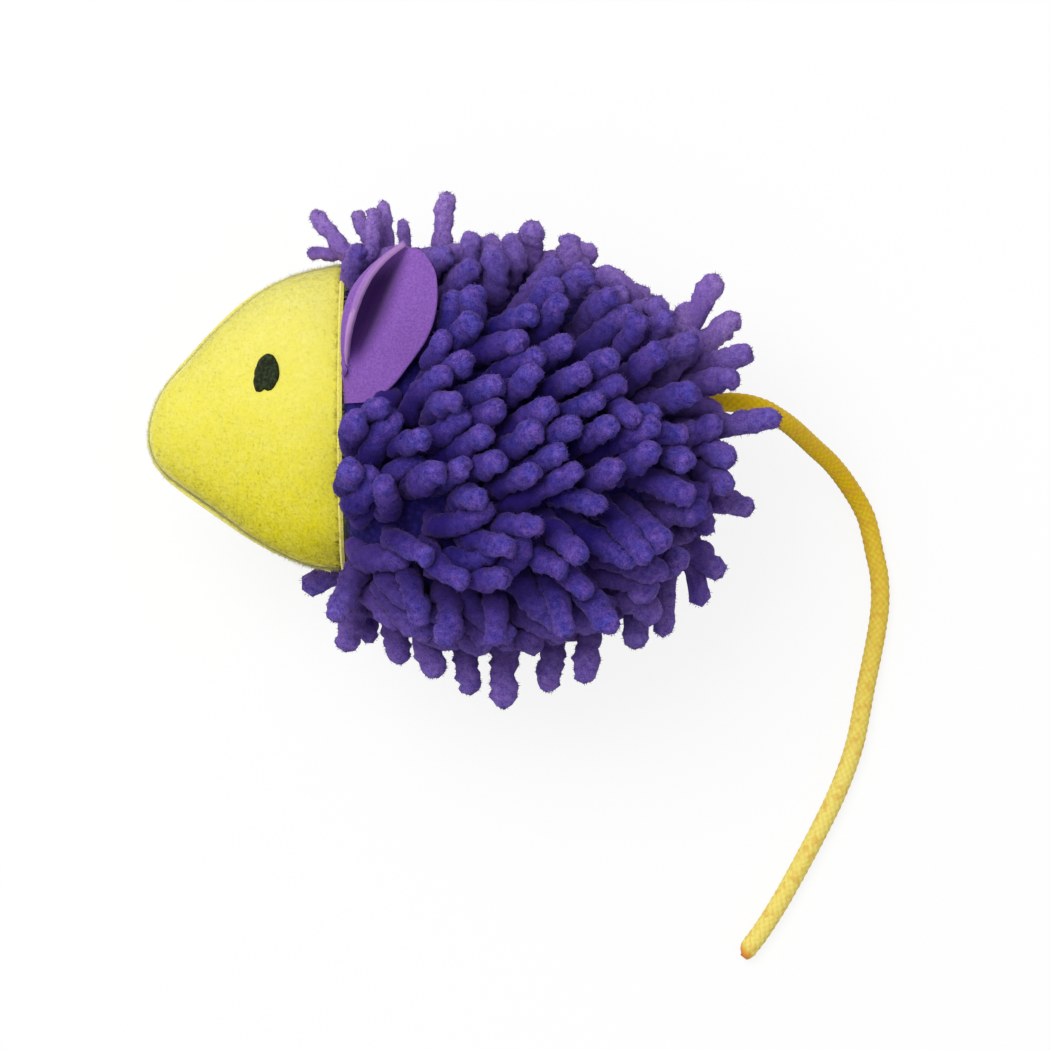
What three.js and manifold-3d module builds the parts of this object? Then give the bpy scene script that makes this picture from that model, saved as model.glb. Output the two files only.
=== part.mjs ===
// A catnip mouse: a stuffed cat toy with a plush head, a body covered in chenille noodles, two
// felt ears, embroidered eyes and a satin cord for a tail. It lies on its right flank.
// Millimetres. +X runs from the nose to the tail, +Y from the belly to the back, and +Z from the
// ground, which the right flank rests on, up to the left flank.

import * as THREE from 'three';
import { mergeVertices } from 'three/addons/utils/BufferGeometryUtils.js';
import Module from 'manifold-3d';

const wasm = await Module();
wasm.setup();

// The head and the body. Their seams lie in one level plane, halfway through the mouse.
const headLength = 29.4;
const headHeight = 45.9;
const headWidth = 37;
const bodyLength = 51.8;
const bodyHeight = 54;
const bodyWidth = 46;
const noseX = -48.1;
const bodyCentreY = 0;
const neckRise = 4.7;
const tailRise = 5;
const pressedPile = 7;

// The cloth, the thread and the fit of one piece in another.
const plushWall = 1.4;
const backingWall = 1.6;
const feltWall = 1.3;
const threadDiameter = 0.8;
const fitGap = 0.3;
const cutOverrun = 4;

// The noodles, which are short tufts of chenille yarn.
const noodleLength = 12.5;
const noodleDiameter = 4.2;
const noodleSpacing = 8.2;
const noodleSink = 1.1;
const groundCut = 0.5;

// The eyes, of satin stitch worked through the plush.
const eyeLength = 5.4;
const eyeWidth = 3.6;
const eyeDepth = 1.1;
const eyeSink = 0.6;

// The ears: folded felt leaves, each pleated at its foot and caught in the neck seam.
const earLength = 23.7;
const earWidth = 13.7;
const earDepth = 6.4;
const pleatWidth = 5;
const pleatDepth = 2.6;
const pleatRise = 0.9;

// The tail: a satin cord, knotted inside the rear of the body, with a melted far end.
const cordDiameter = 3;
const cordSteps = 34;
const knotDiameter = 6.4;
const tailHole = 5.8;

// The catnip, a wad of dried leaf that was pushed in through the gap in the belly seam.
const catnipDiameter = 19;
const catnipNeck = 8;
const closingGap = 15;
const stitchWidth = 2.6;
const stitchTurns = 4;

// Heights and places that follow from the sizes above.
const seamHeight = bodyWidth / 2 + pressedPile;
const neckX = noseX + headLength;
const rearX = neckX + bodyLength;
const neckY = bodyCentreY + neckRise;
const threadRadius = threadDiameter / 2;
const noodleRadius = noodleDiameter / 2;

// The head's outline: [along from the nose, half height and half width, droop of its middle], as
// shares of the head's length, of half its height and width, and of half its height.
const headShares = [
  [0, 0, -0.12],
  [0.03, 0.17, -0.11],
  [0.1, 0.31, -0.085],
  [0.22, 0.46, -0.055],
  [0.36, 0.62, -0.02],
  [0.52, 0.78, 0],
  [0.7, 0.9, 0],
  [0.86, 0.97, -0.01],
  [1, 1, 0],
];

// The body's outline: [along from the neck, share of the neck's size, share of the belly's size,
// share of the neck's rise, share of the tail's rise].
const bodyShares = [
  [0, 1, 0, 1, 0],
  [0.08, 0.65, 0.35, 0.6, 0],
  [0.17, 0.4, 0.6, 0.28, 0],
  [0.3, 0.1, 0.9, 0.06, 0],
  [0.45, 0, 1, 0, 0],
  [0.6, 0, 0.95, 0, 0],
  [0.74, 0, 0.845, 0, 0.05],
  [0.84, 0, 0.71, 0, 0.15],
  [0.92, 0, 0.53, 0, 0.4],
  [0.97, 0, 0.33, 0, 0.75],
  [1, 0, 0, 0, 1],
];

// One row of a table of shares, read at any place along it.
function readShares(table, along) {
  let row = 0;
  while (row < table.length - 2 && along > table[row + 1][0]) row += 1;
  const [before, after] = [table[row], table[row + 1]];
  const blend = (along - before[0]) / (after[0] - before[0]);
  return before.map((value, column) => value + (after[column] - value) * blend);
}

// The middle and the half sizes of a section through the head or the body. A wall draws it in.
function headSection(along, wall = 0) {
  const [, swell, droop] = readShares(headShares, along);
  return {
    x: noseX + along * headLength,
    y: neckY + (droop * headHeight) / 2,
    halfHeight: (swell * headHeight) / 2 - wall,
    halfWidth: (swell * headWidth) / 2 - wall,
  };
}

function bodySection(along, wall = 0) {
  const [, neck, belly, rise, tail] = readShares(bodyShares, along);
  return {
    x: neckX + along * bodyLength,
    y: bodyCentreY + rise * neckRise + tail * tailRise,
    halfHeight: (neck * headHeight + belly * bodyHeight) / 2 - wall,
    halfWidth: (neck * headWidth + belly * bodyWidth) / 2 - wall,
  };
}

// Closed solids. A loft joins rings of points, all with the same count, and closes both ends on
// a point: the middle of the first and the last ring, unless another is given.
function loft(rings, first = middleOf(rings[0]), last = middleOf(rings[rings.length - 1])) {
  const sides = rings[0].length;
  const points = [first, ...rings.flat(), last];
  const faces = [];
  for (let side = 0; side < sides; side += 1) {
    const next = (side + 1) % sides;
    faces.push(0, 1 + next, 1 + side);
    for (let ring = 0; ring < rings.length - 1; ring += 1) {
      const here = 1 + ring * sides;
      const there = here + sides;
      faces.push(here + side, here + next, there + next);
      faces.push(here + side, there + next, there + side);
    }
    const end = 1 + (rings.length - 1) * sides;
    faces.push(end + side, end + next, points.length - 1);
  }
  const geometry = new THREE.BufferGeometry().setFromPoints(points);
  geometry.setIndex(faces);
  return geometry;
}

function middleOf(ring) {
  const sum = ring.reduce((total, point) => total.add(point), new THREE.Vector3());
  return sum.divideScalar(ring.length);
}

// The ring of points round a section of the mouse, starting at its back.
function sectionRing({ x, y, halfHeight, halfWidth }, sides) {
  return Array.from({ length: sides }, (_, side) => {
    const turn = (side / sides) * 2 * Math.PI;
    return new THREE.Vector3(x, y + halfHeight * Math.cos(turn), seamHeight + halfWidth * Math.sin(turn));
  });
}

// A round tube along a curve.
function tube(curve, diameter, steps, sides) {
  const outline = new THREE.Shape();
  for (let side = 0; side < sides; side += 1) {
    const turn = (side / sides) * 2 * Math.PI;
    const point = [(Math.cos(turn) * diameter) / 2, (Math.sin(turn) * diameter) / 2];
    if (side === 0) outline.moveTo(...point);
    else outline.lineTo(...point);
  }
  outline.closePath();
  return new THREE.ExtrudeGeometry(outline, { steps, extrudePath: curve, bevelEnabled: false });
}

// Joining and cutting.
function solid(geometry) {
  const bare = new THREE.BufferGeometry();
  bare.setAttribute('position', geometry.getAttribute('position'));
  if (geometry.index) bare.setIndex(geometry.index);
  const merged = mergeVertices(bare);
  return new wasm.Manifold(new wasm.Mesh({
    numProp: 3,
    vertProperties: new Float32Array(merged.getAttribute('position').array),
    triVerts: new Uint32Array(merged.index.array),
  }));
}

function geometryOf(manifold) {
  const mesh = manifold.getMesh();
  const geometry = new THREE.BufferGeometry();
  geometry.setAttribute('position', new THREE.BufferAttribute(mesh.vertProperties, mesh.numProp));
  geometry.setIndex(new THREE.BufferAttribute(mesh.triVerts, 1));
  return geometry;
}

function box([lowX, highX], [lowY, highY], [lowZ, highZ]) {
  const geometry = new THREE.BoxGeometry(highX - lowX, highY - lowY, highZ - lowZ);
  geometry.translate((lowX + highX) / 2, (lowY + highY) / 2, (lowZ + highZ) / 2);
  return solid(geometry);
}

// The main body of a solid, with the pockets that are shut in it filled and its slivers left off.
function mainBody(manifold) {
  const bodies = manifold.decompose();
  return bodies.reduce((largest, body) => (body.volume() > largest.volume() ? body : largest));
}

// Boxes larger than the toy that keep what lies on one side of a plane.
const reach = 3 * (headLength + bodyLength + bodyHeight);
const leftHalf = box([-reach, reach], [-reach, reach], [seamHeight + fitGap / 2, reach]);
const rightHalf = box([-reach, reach], [-reach, reach], [-reach, seamHeight - fitGap / 2]);
const aboveGround = box([-reach, reach], [-reach, reach], [0, reach]);

// Materials, in the colours of the toy.
function material(color, roughness) {
  return new THREE.MeshStandardMaterial({ color, roughness, metalness: 0 });
}

const yellowPlush = material('#ebe162', 0.95);
const violetChenille = material('#523e96', 0.95);
const orchidFelt = material('#8a5fb4', 0.9);
const blackThread = material('#23261c', 0.6);
const yellowThread = material('#d8cf5e', 0.7);
const violetThread = material('#4a3488', 0.7);
const yellowSatin = material('#e2c648', 0.4);
const whiteFill = material('#f2f2ee', 0.95);
const driedCatnip = material('#6f7a43', 0.95);

const mouse = new THREE.Group();

function add(name, shape, finish, parent = mouse) {
  const geometry = shape instanceof THREE.BufferGeometry ? shape : geometryOf(shape);
  const mesh = new THREE.Mesh(geometry, finish);
  mesh.name = name;
  parent.add(mesh);
  return mesh;
}

// The inside and outside of the two hollow shapes. Each shell is open at the neck. The inside
// leaves out the rows that are nearer to the tip than this many walls.
const headSides = 20;
const bodySides = 24;
const wallsToTip = 1.5;

function headLoft(wall, sides = headSides) {
  const rows = headShares.filter(([along]) => along * headLength > wallsToTip * wall);
  const rings = rows.map(([along]) => sectionRing(headSection(along, wall), sides));
  const tip = headSection(0);
  const nose = new THREE.Vector3(tip.x + wall, tip.y, seamHeight);
  return solid(loft(rings, nose));
}

function bodyLoft(wall, sides = bodySides) {
  const rows = bodyShares.filter(([along]) => (1 - along) * bodyLength > wallsToTip * wall);
  const rings = rows.map(([along]) => sectionRing(bodySection(along, wall), sides));
  const tip = bodySection(1);
  const rear = new THREE.Vector3(tip.x - wall, tip.y, seamHeight);
  return solid(loft(rings, middleOf(rings[0]), rear));
}

const headStop = box([-reach, neckX - fitGap / 2], [-reach, reach], [-reach, reach]);
const bodyStop = box([neckX + fitGap / 2, reach], [-reach, reach], [-reach, reach]);

// Seams. A thread lies in a groove along the outside of the two edges that it joins.
const threadSides = 5;

function groove(curve, steps) {
  return solid(tube(curve, threadDiameter + 2 * fitGap, steps, threadSides));
}

function seamCurve(points) {
  return new THREE.CatmullRomCurve3(points, false, 'centripetal');
}

function onSeam({ x, y, halfHeight }, side) {
  return new THREE.Vector3(x, y + side * halfHeight, seamHeight);
}

// The head's seam runs from the neck over the forehead, round the nose and back along the chin.
const headSeamEnd = 0.93;
const headSeamShares = [headSeamEnd, 0.7, 0.52, 0.36, 0.22, 0.1, 0.03];
const headSeam = seamCurve([
  ...headSeamShares.map((along) => onSeam(headSection(along), 1)),
  new THREE.Vector3(noseX, headSection(0).y, seamHeight),
  ...headSeamShares.toReversed().map((along) => onSeam(headSection(along), -1)),
]);
const headSeamSteps = 24;

// The neck seam is a ring round the edge where the head meets the body, tied where it starts.
const neckSeamParts = 24;
const neckSeamGapShare = 0.05;
const neckSeam = seamCurve(Array.from({ length: neckSeamParts + 1 }, (_, step) => {
  const partShare = step / neckSeamParts;
  const turn = Math.PI * (1 + neckSeamGapShare + 2 * (1 - neckSeamGapShare) * partShare);
  return new THREE.Vector3(
    neckX,
    neckY + (headHeight / 2) * Math.cos(turn),
    seamHeight + (headWidth / 2) * Math.sin(turn),
  );
}));
const neckSeamSteps = 30;

// The body's seams run along the back to the tail, and from the tail along the belly to the gap.
const backSeamShares = [0.05, 0.17, 0.3, 0.45, 0.6, 0.74, 0.84, 0.92];
const backSeam = seamCurve(backSeamShares.map((along) => onSeam(bodySection(along), 1)));
const closingShare = closingGap / bodyLength;
const closingStartShare = 0.05;
const bellySeamEnd = closingStartShare + closingShare + 0.03;
const bellySeamShares = [0.92, 0.84, 0.74, 0.6, 0.45, bellySeamEnd];
const bellySeam = seamCurve(bellySeamShares.map((along) => onSeam(bodySection(along), -1)));
const bodySeamSteps = 12;

// The gap in the belly seam is closed by hand, with a thread that crosses it to and fro.
const closingSteps = stitchTurns * 2;
const closingTubeSteps = closingSteps * 3;
const closingCurve = seamCurve(Array.from({ length: closingSteps + 1 }, (_, step) => {
  const along = closingStartShare + (closingShare * step) / closingSteps;
  const point = onSeam(bodySection(along), -1);
  point.z += (step % 2 === 0 ? 1 : -1) * (stitchWidth / 2);
  return point;
}));

// The head.
const headShell = headLoft(0).subtract(headLoft(plushWall)).intersect(headStop);

// An eye is a low pad of thread in a hollow that its stitches pull into the plush.
const eyeShare = 0.63;
const eyeRiseShare = 0.34;
const eyeSlopeShare = 0.08;
const eyeSides = 14;

function eyePlace(side) {
  const section = headSection(eyeShare);
  const out = Math.sqrt(1 - eyeRiseShare ** 2);
  const place = new THREE.Vector3(
    section.x,
    section.y + eyeRiseShare * section.halfHeight,
    seamHeight + side * out * section.halfWidth,
  );
  const before = headSection(eyeShare - eyeSlopeShare);
  const ahead = headSection(eyeShare + eyeSlopeShare);
  const slope = (ahead.halfWidth - before.halfWidth) / (ahead.x - before.x);
  const rise = eyeRiseShare * (section.halfWidth / section.halfHeight);
  const normal = new THREE.Vector3(-slope, rise, side * out).normalize();
  return { place, normal };
}

function eyePad(side, grow, bottom, top) {
  const width = eyeWidth / 2 + grow;
  const profile = [
    new THREE.Vector2(0, bottom),
    new THREE.Vector2(width, bottom),
    new THREE.Vector2(width, top * 0.35),
    new THREE.Vector2(width * 0.7, top * 0.85),
    new THREE.Vector2(0, top),
  ];
  const geometry = new THREE.LatheGeometry(profile, eyeSides);
  geometry.scale(1, 1, (eyeLength / 2 + grow) / width);
  const { place, normal } = eyePlace(side);
  const across = new THREE.Vector3(0, 1, 0).cross(normal).normalize();
  const along = across.clone().cross(normal).normalize();
  geometry.applyMatrix4(new THREE.Matrix4().makeBasis(across, normal, along));
  geometry.translate(place.x, place.y, place.z);
  return solid(geometry);
}

// The ears. Each felt leaf is folded along its length into a trough that opens outwards. Its
// foot is pleated double and caught in the neck seam, and the leaf bends just above the pleat.
// The leaf leans back from the head: its own direction, as a share along the body and the back.
const earLeanShares = [0.393, 0.919];
const earFootShare = 0.13;

// The leaf, in rows from its foot to its tip. Each row holds five places: the front rim, the bulge
// of the front lobe, the valley of the fold, the shoulder behind it and the rear edge. Each place
// is [along, across, up], in shares of the leaf's length, width and depth.
const earShares = [
  [[0.02, 0.03, 0], [0, 0.06, 0], [-0.05, 0.1, 0], [-0.1, 0.14, 0], [-0.15, 0.19, 0]],
  [[0.09, 0.03, 0.19], [0.06, 0.03, 0.08], [0.05, 0.12, 0.02], [0.02, 0.2, 0.1], [-0.07, 0.44, 0.2]],
  [[0.18, -0.02, 0.44], [0.15, -0.05, 0.23], [0.17, 0.08, 0.02], [0.16, 0.16, 0.27], [0.06, 0.58, 0.36]],
  [[0.28, -0.06, 0.67], [0.25, -0.12, 0.36], [0.28, 0.06, 0.02], [0.29, 0.16, 0.47], [0.23, 0.66, 0.48]],
  [[0.39, -0.08, 0.84], [0.35, -0.17, 0.45], [0.41, 0.05, 0.02], [0.43, 0.17, 0.61], [0.4, 0.72, 0.62]],
  [[0.51, -0.09, 0.94], [0.47, -0.19, 0.5], [0.54, 0.05, 0.03], [0.56, 0.16, 0.69], [0.54, 0.71, 0.72]],
  [[0.64, -0.07, 0.95], [0.6, -0.15, 0.53], [0.67, 0.06, 0.11], [0.69, 0.16, 0.7], [0.68, 0.64, 0.75]],
  [[0.77, 0, 0.86], [0.73, -0.05, 0.56], [0.78, 0.1, 0.29], [0.8, 0.19, 0.67], [0.8, 0.52, 0.7]],
  [[0.89, 0.11, 0.67], [0.87, 0.1, 0.58], [0.87, 0.16, 0.5], [0.88, 0.22, 0.61], [0.88, 0.33, 0.64]],
];

// Where the pleat crosses the neck seam, and the height of the cloth there above the seam plane.
const earFootY = neckY + earFootShare * headHeight;
const earFootHeight = (headWidth / 2) * Math.sqrt(1 - (2 * earFootShare) ** 2);

function pleatSolid(side, grow) {
  const top = earFootHeight + pleatRise + grow;
  const bottom = earFootHeight - 2 * plushWall - grow;
  const heights = [seamHeight + side * bottom, seamHeight + side * top];
  return box(
    [neckX - pleatDepth / 2 - grow, neckX + pleatDepth / 2 + grow],
    [earFootY - pleatWidth / 2 - grow, earFootY + pleatWidth / 2 + grow],
    [Math.min(...heights), Math.max(...heights)],
  );
}

function earPoint(side, along, across, up) {
  const [lean, rise] = earLeanShares;
  return new THREE.Vector3(
    neckX + along * earLength * lean + across * earWidth * rise,
    earFootY + along * earLength * rise - across * earWidth * lean,
    seamHeight + side * (earFootHeight + pleatRise + fitGap + feltWall / 2 + up * earDepth),
  );
}

// A ring round one row of the leaf: over its outer face, then back over its inner one.
function earRing(side, row) {
  const points = row.map((place) => earPoint(side, ...place));
  const axis = new THREE.Vector3(...earLeanShares, 0);
  const normals = points.map((point, column) => {
    const before = points[Math.max(column - 1, 0)];
    const after = points[Math.min(column + 1, points.length - 1)];
    return after.clone().sub(before).cross(axis).normalize().multiplyScalar(feltWall / 2);
  });
  const outer = points.map((point, column) => point.clone().add(normals[column]));
  const inner = points.map((point, column) => point.clone().sub(normals[column]));
  return [...outer, ...inner.toReversed()];
}

function earLeaf(side) {
  return solid(loft(earShares.map((row) => earRing(side, row))));
}

// Noodles. Those on the left flank and round the outline are placed by where the root and the
// tip of each show in a photograph of the toy that is 1050 pixels square, seen from above.
const millimetresPerPixel = 0.15;
const noseXPixel = 149;
const bodyCentreYPixel = 449.5;

const leftNoodlePixels = [
  [345, 243, 310, 210], [340, 250, 308, 252], [352, 240, 353, 209], [372, 245, 375, 215],
  [405, 245, 403, 222], [447, 250, 447, 190], [475, 255, 475, 233], [505, 255, 507, 233],
  [360, 275, 358, 248], [530, 250, 532, 222], [565, 262, 568, 233], [580, 270, 617, 257],
  [640, 310, 645, 284], [693, 320, 718, 275], [715, 335, 741, 312], [722, 365, 752, 352],
  [700, 390, 737, 378], [720, 422, 788, 416], [722, 445, 735, 462], [705, 475, 727, 494],
  [715, 500, 755, 508], [695, 515, 708, 545], [690, 580, 722, 576], [662, 605, 662, 636],
  [635, 620, 634, 648], [582, 645, 583, 684], [548, 655, 547, 693], [500, 650, 504, 710],
  [470, 660, 470, 697], [437, 640, 437, 675], [393, 610, 400, 664], [360, 600, 345, 652],
  [325, 585, 335, 620], [460, 295, 465, 272], [482, 285, 510, 272], [490, 335, 535, 312],
  [465, 355, 522, 345], [464, 316, 461, 352], [408, 414, 450, 372], [470, 400, 500, 385],
  [545, 325, 560, 297], [610, 350, 640, 312], [560, 385, 588, 370], [580, 378, 616, 355],
  [515, 385, 538, 365], [640, 368, 662, 348], [640, 405, 697, 392], [600, 400, 640, 424],
  [550, 440, 577, 422], [583, 440, 615, 423], [495, 455, 540, 425], [420, 440, 461, 412],
  [363, 470, 390, 413], [440, 458, 488, 431], [350, 515, 438, 462], [352, 480, 358, 450],
  [345, 550, 400, 540], [432, 524, 487, 505], [435, 565, 500, 548], [495, 555, 525, 522],
  [395, 580, 425, 605], [443, 590, 440, 645], [492, 590, 497, 648], [625, 465, 656, 447],
  [665, 445, 690, 464], [505, 505, 580, 468], [580, 490, 620, 465], [670, 510, 706, 509],
  [625, 510, 665, 545], [600, 505, 648, 562], [543, 520, 583, 560], [542, 575, 567, 640],
  [565, 565, 615, 632], [620, 590, 655, 615], [560, 300, 588, 270], [592, 318, 615, 292],
  [648, 338, 672, 314], [630, 300, 628, 282],
];

const rightNoodlePixels = [
  [388, 240, 383, 200], [490, 245, 492, 223], [678, 318, 680, 298], [695, 580, 702, 606],
  [372, 600, 373, 643], [315, 570, 302, 590],
];

function photoX(pixel) {
  return noseX + (pixel - noseXPixel) * millimetresPerPixel;
}

function photoY(pixel) {
  return bodyCentreY - (pixel - bodyCentreYPixel) * millimetresPerPixel;
}

// A point on the cloth of the body, and the way that it faces there. The rise runs from -1 at
// the belly seam to 1 at the back seam, over the left flank or under the right one.
const slopeStepShare = 0.03;

function bodyPoint(along, rise, side) {
  const section = bodySection(along);
  const out = Math.sqrt(1 - rise ** 2);
  const point = new THREE.Vector3(
    section.x,
    section.y + rise * section.halfHeight,
    seamHeight + side * out * section.halfWidth,
  );
  const before = bodySection(along - slopeStepShare);
  const ahead = bodySection(along + slopeStepShare);
  const slope = (ahead.halfWidth - before.halfWidth) / (ahead.x - before.x);
  const normal = new THREE.Vector3(
    -slope,
    rise * (section.halfWidth / section.halfHeight),
    side * out,
  ).normalize();
  return { point, normal };
}

// One strand: rings across a curved centre line, drawn to a point at the tip.
const noodleSides = 4;
const noodleTaperShares = [1, 1, 0.84];

function strand(centres) {
  const rings = centres.slice(0, -1).map((centre, index) => {
    const before = centres[Math.max(index - 1, 0)];
    const axis = centres[index + 1].clone().sub(before).normalize();
    const reference = Math.abs(axis.x) < 0.9 ? new THREE.Vector3(1, 0, 0) : new THREE.Vector3(0, 1, 0);
    const across = axis.clone().cross(reference).normalize();
    const up = axis.clone().cross(across);
    const radius = noodleRadius * noodleTaperShares[index];
    return Array.from({ length: noodleSides }, (_, side) => {
      const turn = (side / noodleSides) * 2 * Math.PI;
      const out = across.clone().multiplyScalar(Math.cos(turn) * radius);
      return centre.clone().add(out).addScaledVector(up, Math.sin(turn) * radius);
    });
  });
  return loft(rings, centres[0], centres[centres.length - 1]);
}

// A noodle leaves the cloth square to it, then bends over towards its tip. The ground stops it.
const kneeShare = 0.32;
const shoulderShare = 0.8;

function noodle(root, normal, tip) {
  const start = root.clone().addScaledVector(normal, -noodleSink);
  const knee = root.clone().lerp(tip, kneeShare).addScaledVector(normal, noodleLength * kneeShare * 0.5);
  knee.z = Math.max(knee.z, noodleRadius - groundCut);
  const shoulder = knee.clone().lerp(tip, shoulderShare);
  return strand([start, knee, shoulder, tip]);
}

// A noodle that is seen: its root is taken back along its line until it has its whole length.
const flatShare = 0.78;
const riseShare = 0.56;
const rootEndShare = 0.05;

function seenNoodle([rootX, rootY, tipX, tipY], side) {
  const tip = new THREE.Vector3(photoX(tipX), photoY(tipY), 0);
  const line = tip.clone().sub(new THREE.Vector3(photoX(rootX), photoY(rootY), 0));
  const length = Math.max(line.length(), flatShare * noodleLength);
  const start = tip.clone().addScaledVector(line.normalize(), -length);
  const along = THREE.MathUtils.clamp((start.x - neckX) / bodyLength, rootEndShare, 1 - rootEndShare);
  const section = bodySection(along);
  const edge = 1 - rootEndShare;
  const rise = THREE.MathUtils.clamp((start.y - section.y) / section.halfHeight, -edge, edge);
  const { point, normal } = bodyPoint(along, rise, side);
  tip.z = point.z + side * riseShare * noodleLength * (1 - rise ** 4);
  return noodle(point, normal, tip);
}

// The noodles on the right flank stand in staggered rows, lean to the rear and lie on the ground.
const leanShare = 0.5;
const sagShare = 0.3;
const hangShare = 0.95;
const firstRowShare = 0.08;
const lastRowShare = 0.88;
const staggerShare = 0.35;

function groundNoodle(along, rise) {
  const { point, normal } = bodyPoint(along, rise, -1);
  const way = normal.clone().multiplyScalar(1 - leanShare);
  way.add(new THREE.Vector3(leanShare, leanShare * rise, -sagShare)).normalize();
  const tip = point.clone().addScaledVector(way, noodleLength);
  tip.z = point.z < hangShare * noodleLength ? -groundCut : Math.max(tip.z, -groundCut);
  const flat = Math.sqrt(Math.max(noodleLength ** 2 - (tip.z - point.z) ** 2, 0));
  const heading = new THREE.Vector2(way.x, way.y).normalize().multiplyScalar(flat);
  tip.x = point.x + heading.x;
  tip.y = point.y + heading.y;
  return noodle(point, normal, tip);
}

function groundNoodles() {
  const noodles = [];
  const rows = Math.round(bodyLength / noodleSpacing);
  for (let row = 0; row < rows; row += 1) {
    const along = firstRowShare + ((lastRowShare - firstRowShare) * row) / (rows - 1);
    const section = bodySection(along);
    const girth = (Math.PI * (section.halfHeight + section.halfWidth)) / 2;
    const count = Math.round(girth / noodleSpacing);
    for (let place = 0; place < count; place += 1) {
      const shift = 0.5 + (row % 2) * staggerShare;
      const turn = (Math.PI * (place + shift)) / (count + staggerShare);
      const rise = Math.cos(turn);
      const underEar = along * bodyLength < earWidth && rise > 0;
      if (!underEar) noodles.push(groundNoodle(along, rise));
    }
  }
  return noodles;
}

// The tail. Its cord leaves the rear seam, sinks to the ground and curls back beside the body.
const tailRoute = [
  [33.1, 5.3, 30.0], [35.5, 6.2, 30.0], [37.9, 7.0, 29.8], [40.9, 7.0, 29.0],
  [44.0, 6.3, 27.3], [46.3, 5.2, 24.6], [48.5, 3.9, 21.2], [50.3, 2.6, 18.0],
  [52.9, 0.5, 13.6], [55.5, -1.6, 9.6], [57.5, -3.7, 6.6], [59.2, -5.9, 4.4],
  [60.6, -8.0, 2.8], [61.7, -10.2, 1.9], [62.4, -12.7, 1.6], [63.0, -15.6, 1.6],
  [63.7, -19.0, 1.6], [63.9, -23.4, 1.6], [63.4, -27.8, 1.6], [62.6, -32.1, 1.6],
  [61.7, -36.5, 1.6], [60.9, -40.9, 1.6], [60.0, -45.3, 1.6], [58.6, -49.7, 1.6],
  [56.8, -54.1, 1.6], [54.7, -58.4, 1.6], [52.4, -62.8, 1.6], [50.0, -67.2, 1.6],
  [47.5, -71.5, 1.6], [44.8, -75.6, 1.6], [42.3, -78.8, 1.6],
];

const tailY = bodyCentreY + tailRise;
const knotX = rearX - knotDiameter;
const cordStart = new THREE.Vector3(knotX + knotDiameter / 2 + fitGap, tailY, seamHeight);
const tailCurve = new THREE.CatmullRomCurve3(
  [cordStart, ...tailRoute.map((point) => new THREE.Vector3(...point))],
  false,
  'centripetal',
);

const knotSides = 12;
const knotRings = 8;
const holeSides = 16;
const cordSides = 8;

function knot(grow) {
  const geometry = new THREE.SphereGeometry(knotDiameter / 2 + grow, knotSides, knotRings);
  geometry.translate(knotX, tailY, seamHeight);
  return solid(geometry);
}

function tailBore() {
  const geometry = new THREE.CylinderGeometry(tailHole / 2, tailHole / 2, 2 * knotDiameter, holeSides);
  geometry.rotateZ(Math.PI / 2);
  geometry.translate(rearX, tailY, seamHeight);
  return solid(geometry);
}

// The catnip lies in the middle of the filling, in the pocket that it was pushed into.
const catnipShare = 0.42;
const catnipSides = 16;

function catnip(grow) {
  const middle = bodySection(catnipShare);
  const radius = catnipDiameter / 2 + grow;
  const neck = catnipNeck / 2 + grow;
  const bottom = middle.y - middle.halfHeight + backingWall + (grow > 0 ? -cutOverrun : 4 * fitGap);
  const profile = [
    new THREE.Vector2(0, bottom - middle.y),
    new THREE.Vector2(neck, bottom - middle.y),
    new THREE.Vector2(neck, -radius * 1.05),
    new THREE.Vector2(radius * 0.8, -radius * 0.6),
    new THREE.Vector2(radius, 0),
    new THREE.Vector2(radius * 0.7, radius * 0.7),
    new THREE.Vector2(0, radius),
  ];
  const geometry = new THREE.LatheGeometry(profile, catnipSides);
  geometry.translate(middle.x, middle.y, seamHeight);
  return solid(geometry);
}

const pleatPockets = pleatSolid(1, fitGap).add(pleatSolid(-1, fitGap));

// The head.
for (const [side, half, name] of [[1, leftHalf, 'left'], [-1, rightHalf, 'right']]) {
  const panel = headShell.intersect(half)
    .subtract(groove(headSeam, headSeamSteps))
    .subtract(groove(neckSeam, neckSeamSteps))
    .subtract(eyePad(side, fitGap, -eyeSink, eyeDepth))
    .subtract(pleatPockets);
  add(`${name}_head_panel`, panel, yellowPlush);
  add(`${name}_eye`, eyePad(side, 0, fitGap - eyeSink, eyeDepth), blackThread);
  add(`${name}_ear_pleat`, pleatSolid(side, 0).subtract(groove(neckSeam, neckSeamSteps)), orchidFelt);
  add(`${name}_ear`, earLeaf(side), orchidFelt);
}
add('head_seam_thread', tube(headSeam, threadDiameter, headSeamSteps, threadSides), yellowThread);
add('neck_seam_thread', tube(neckSeam, threadDiameter, neckSeamSteps, threadSides), yellowThread);
add('head_stuffing', headLoft(plushWall + fitGap).intersect(headStop).subtract(pleatPockets), whiteFill);

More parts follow.
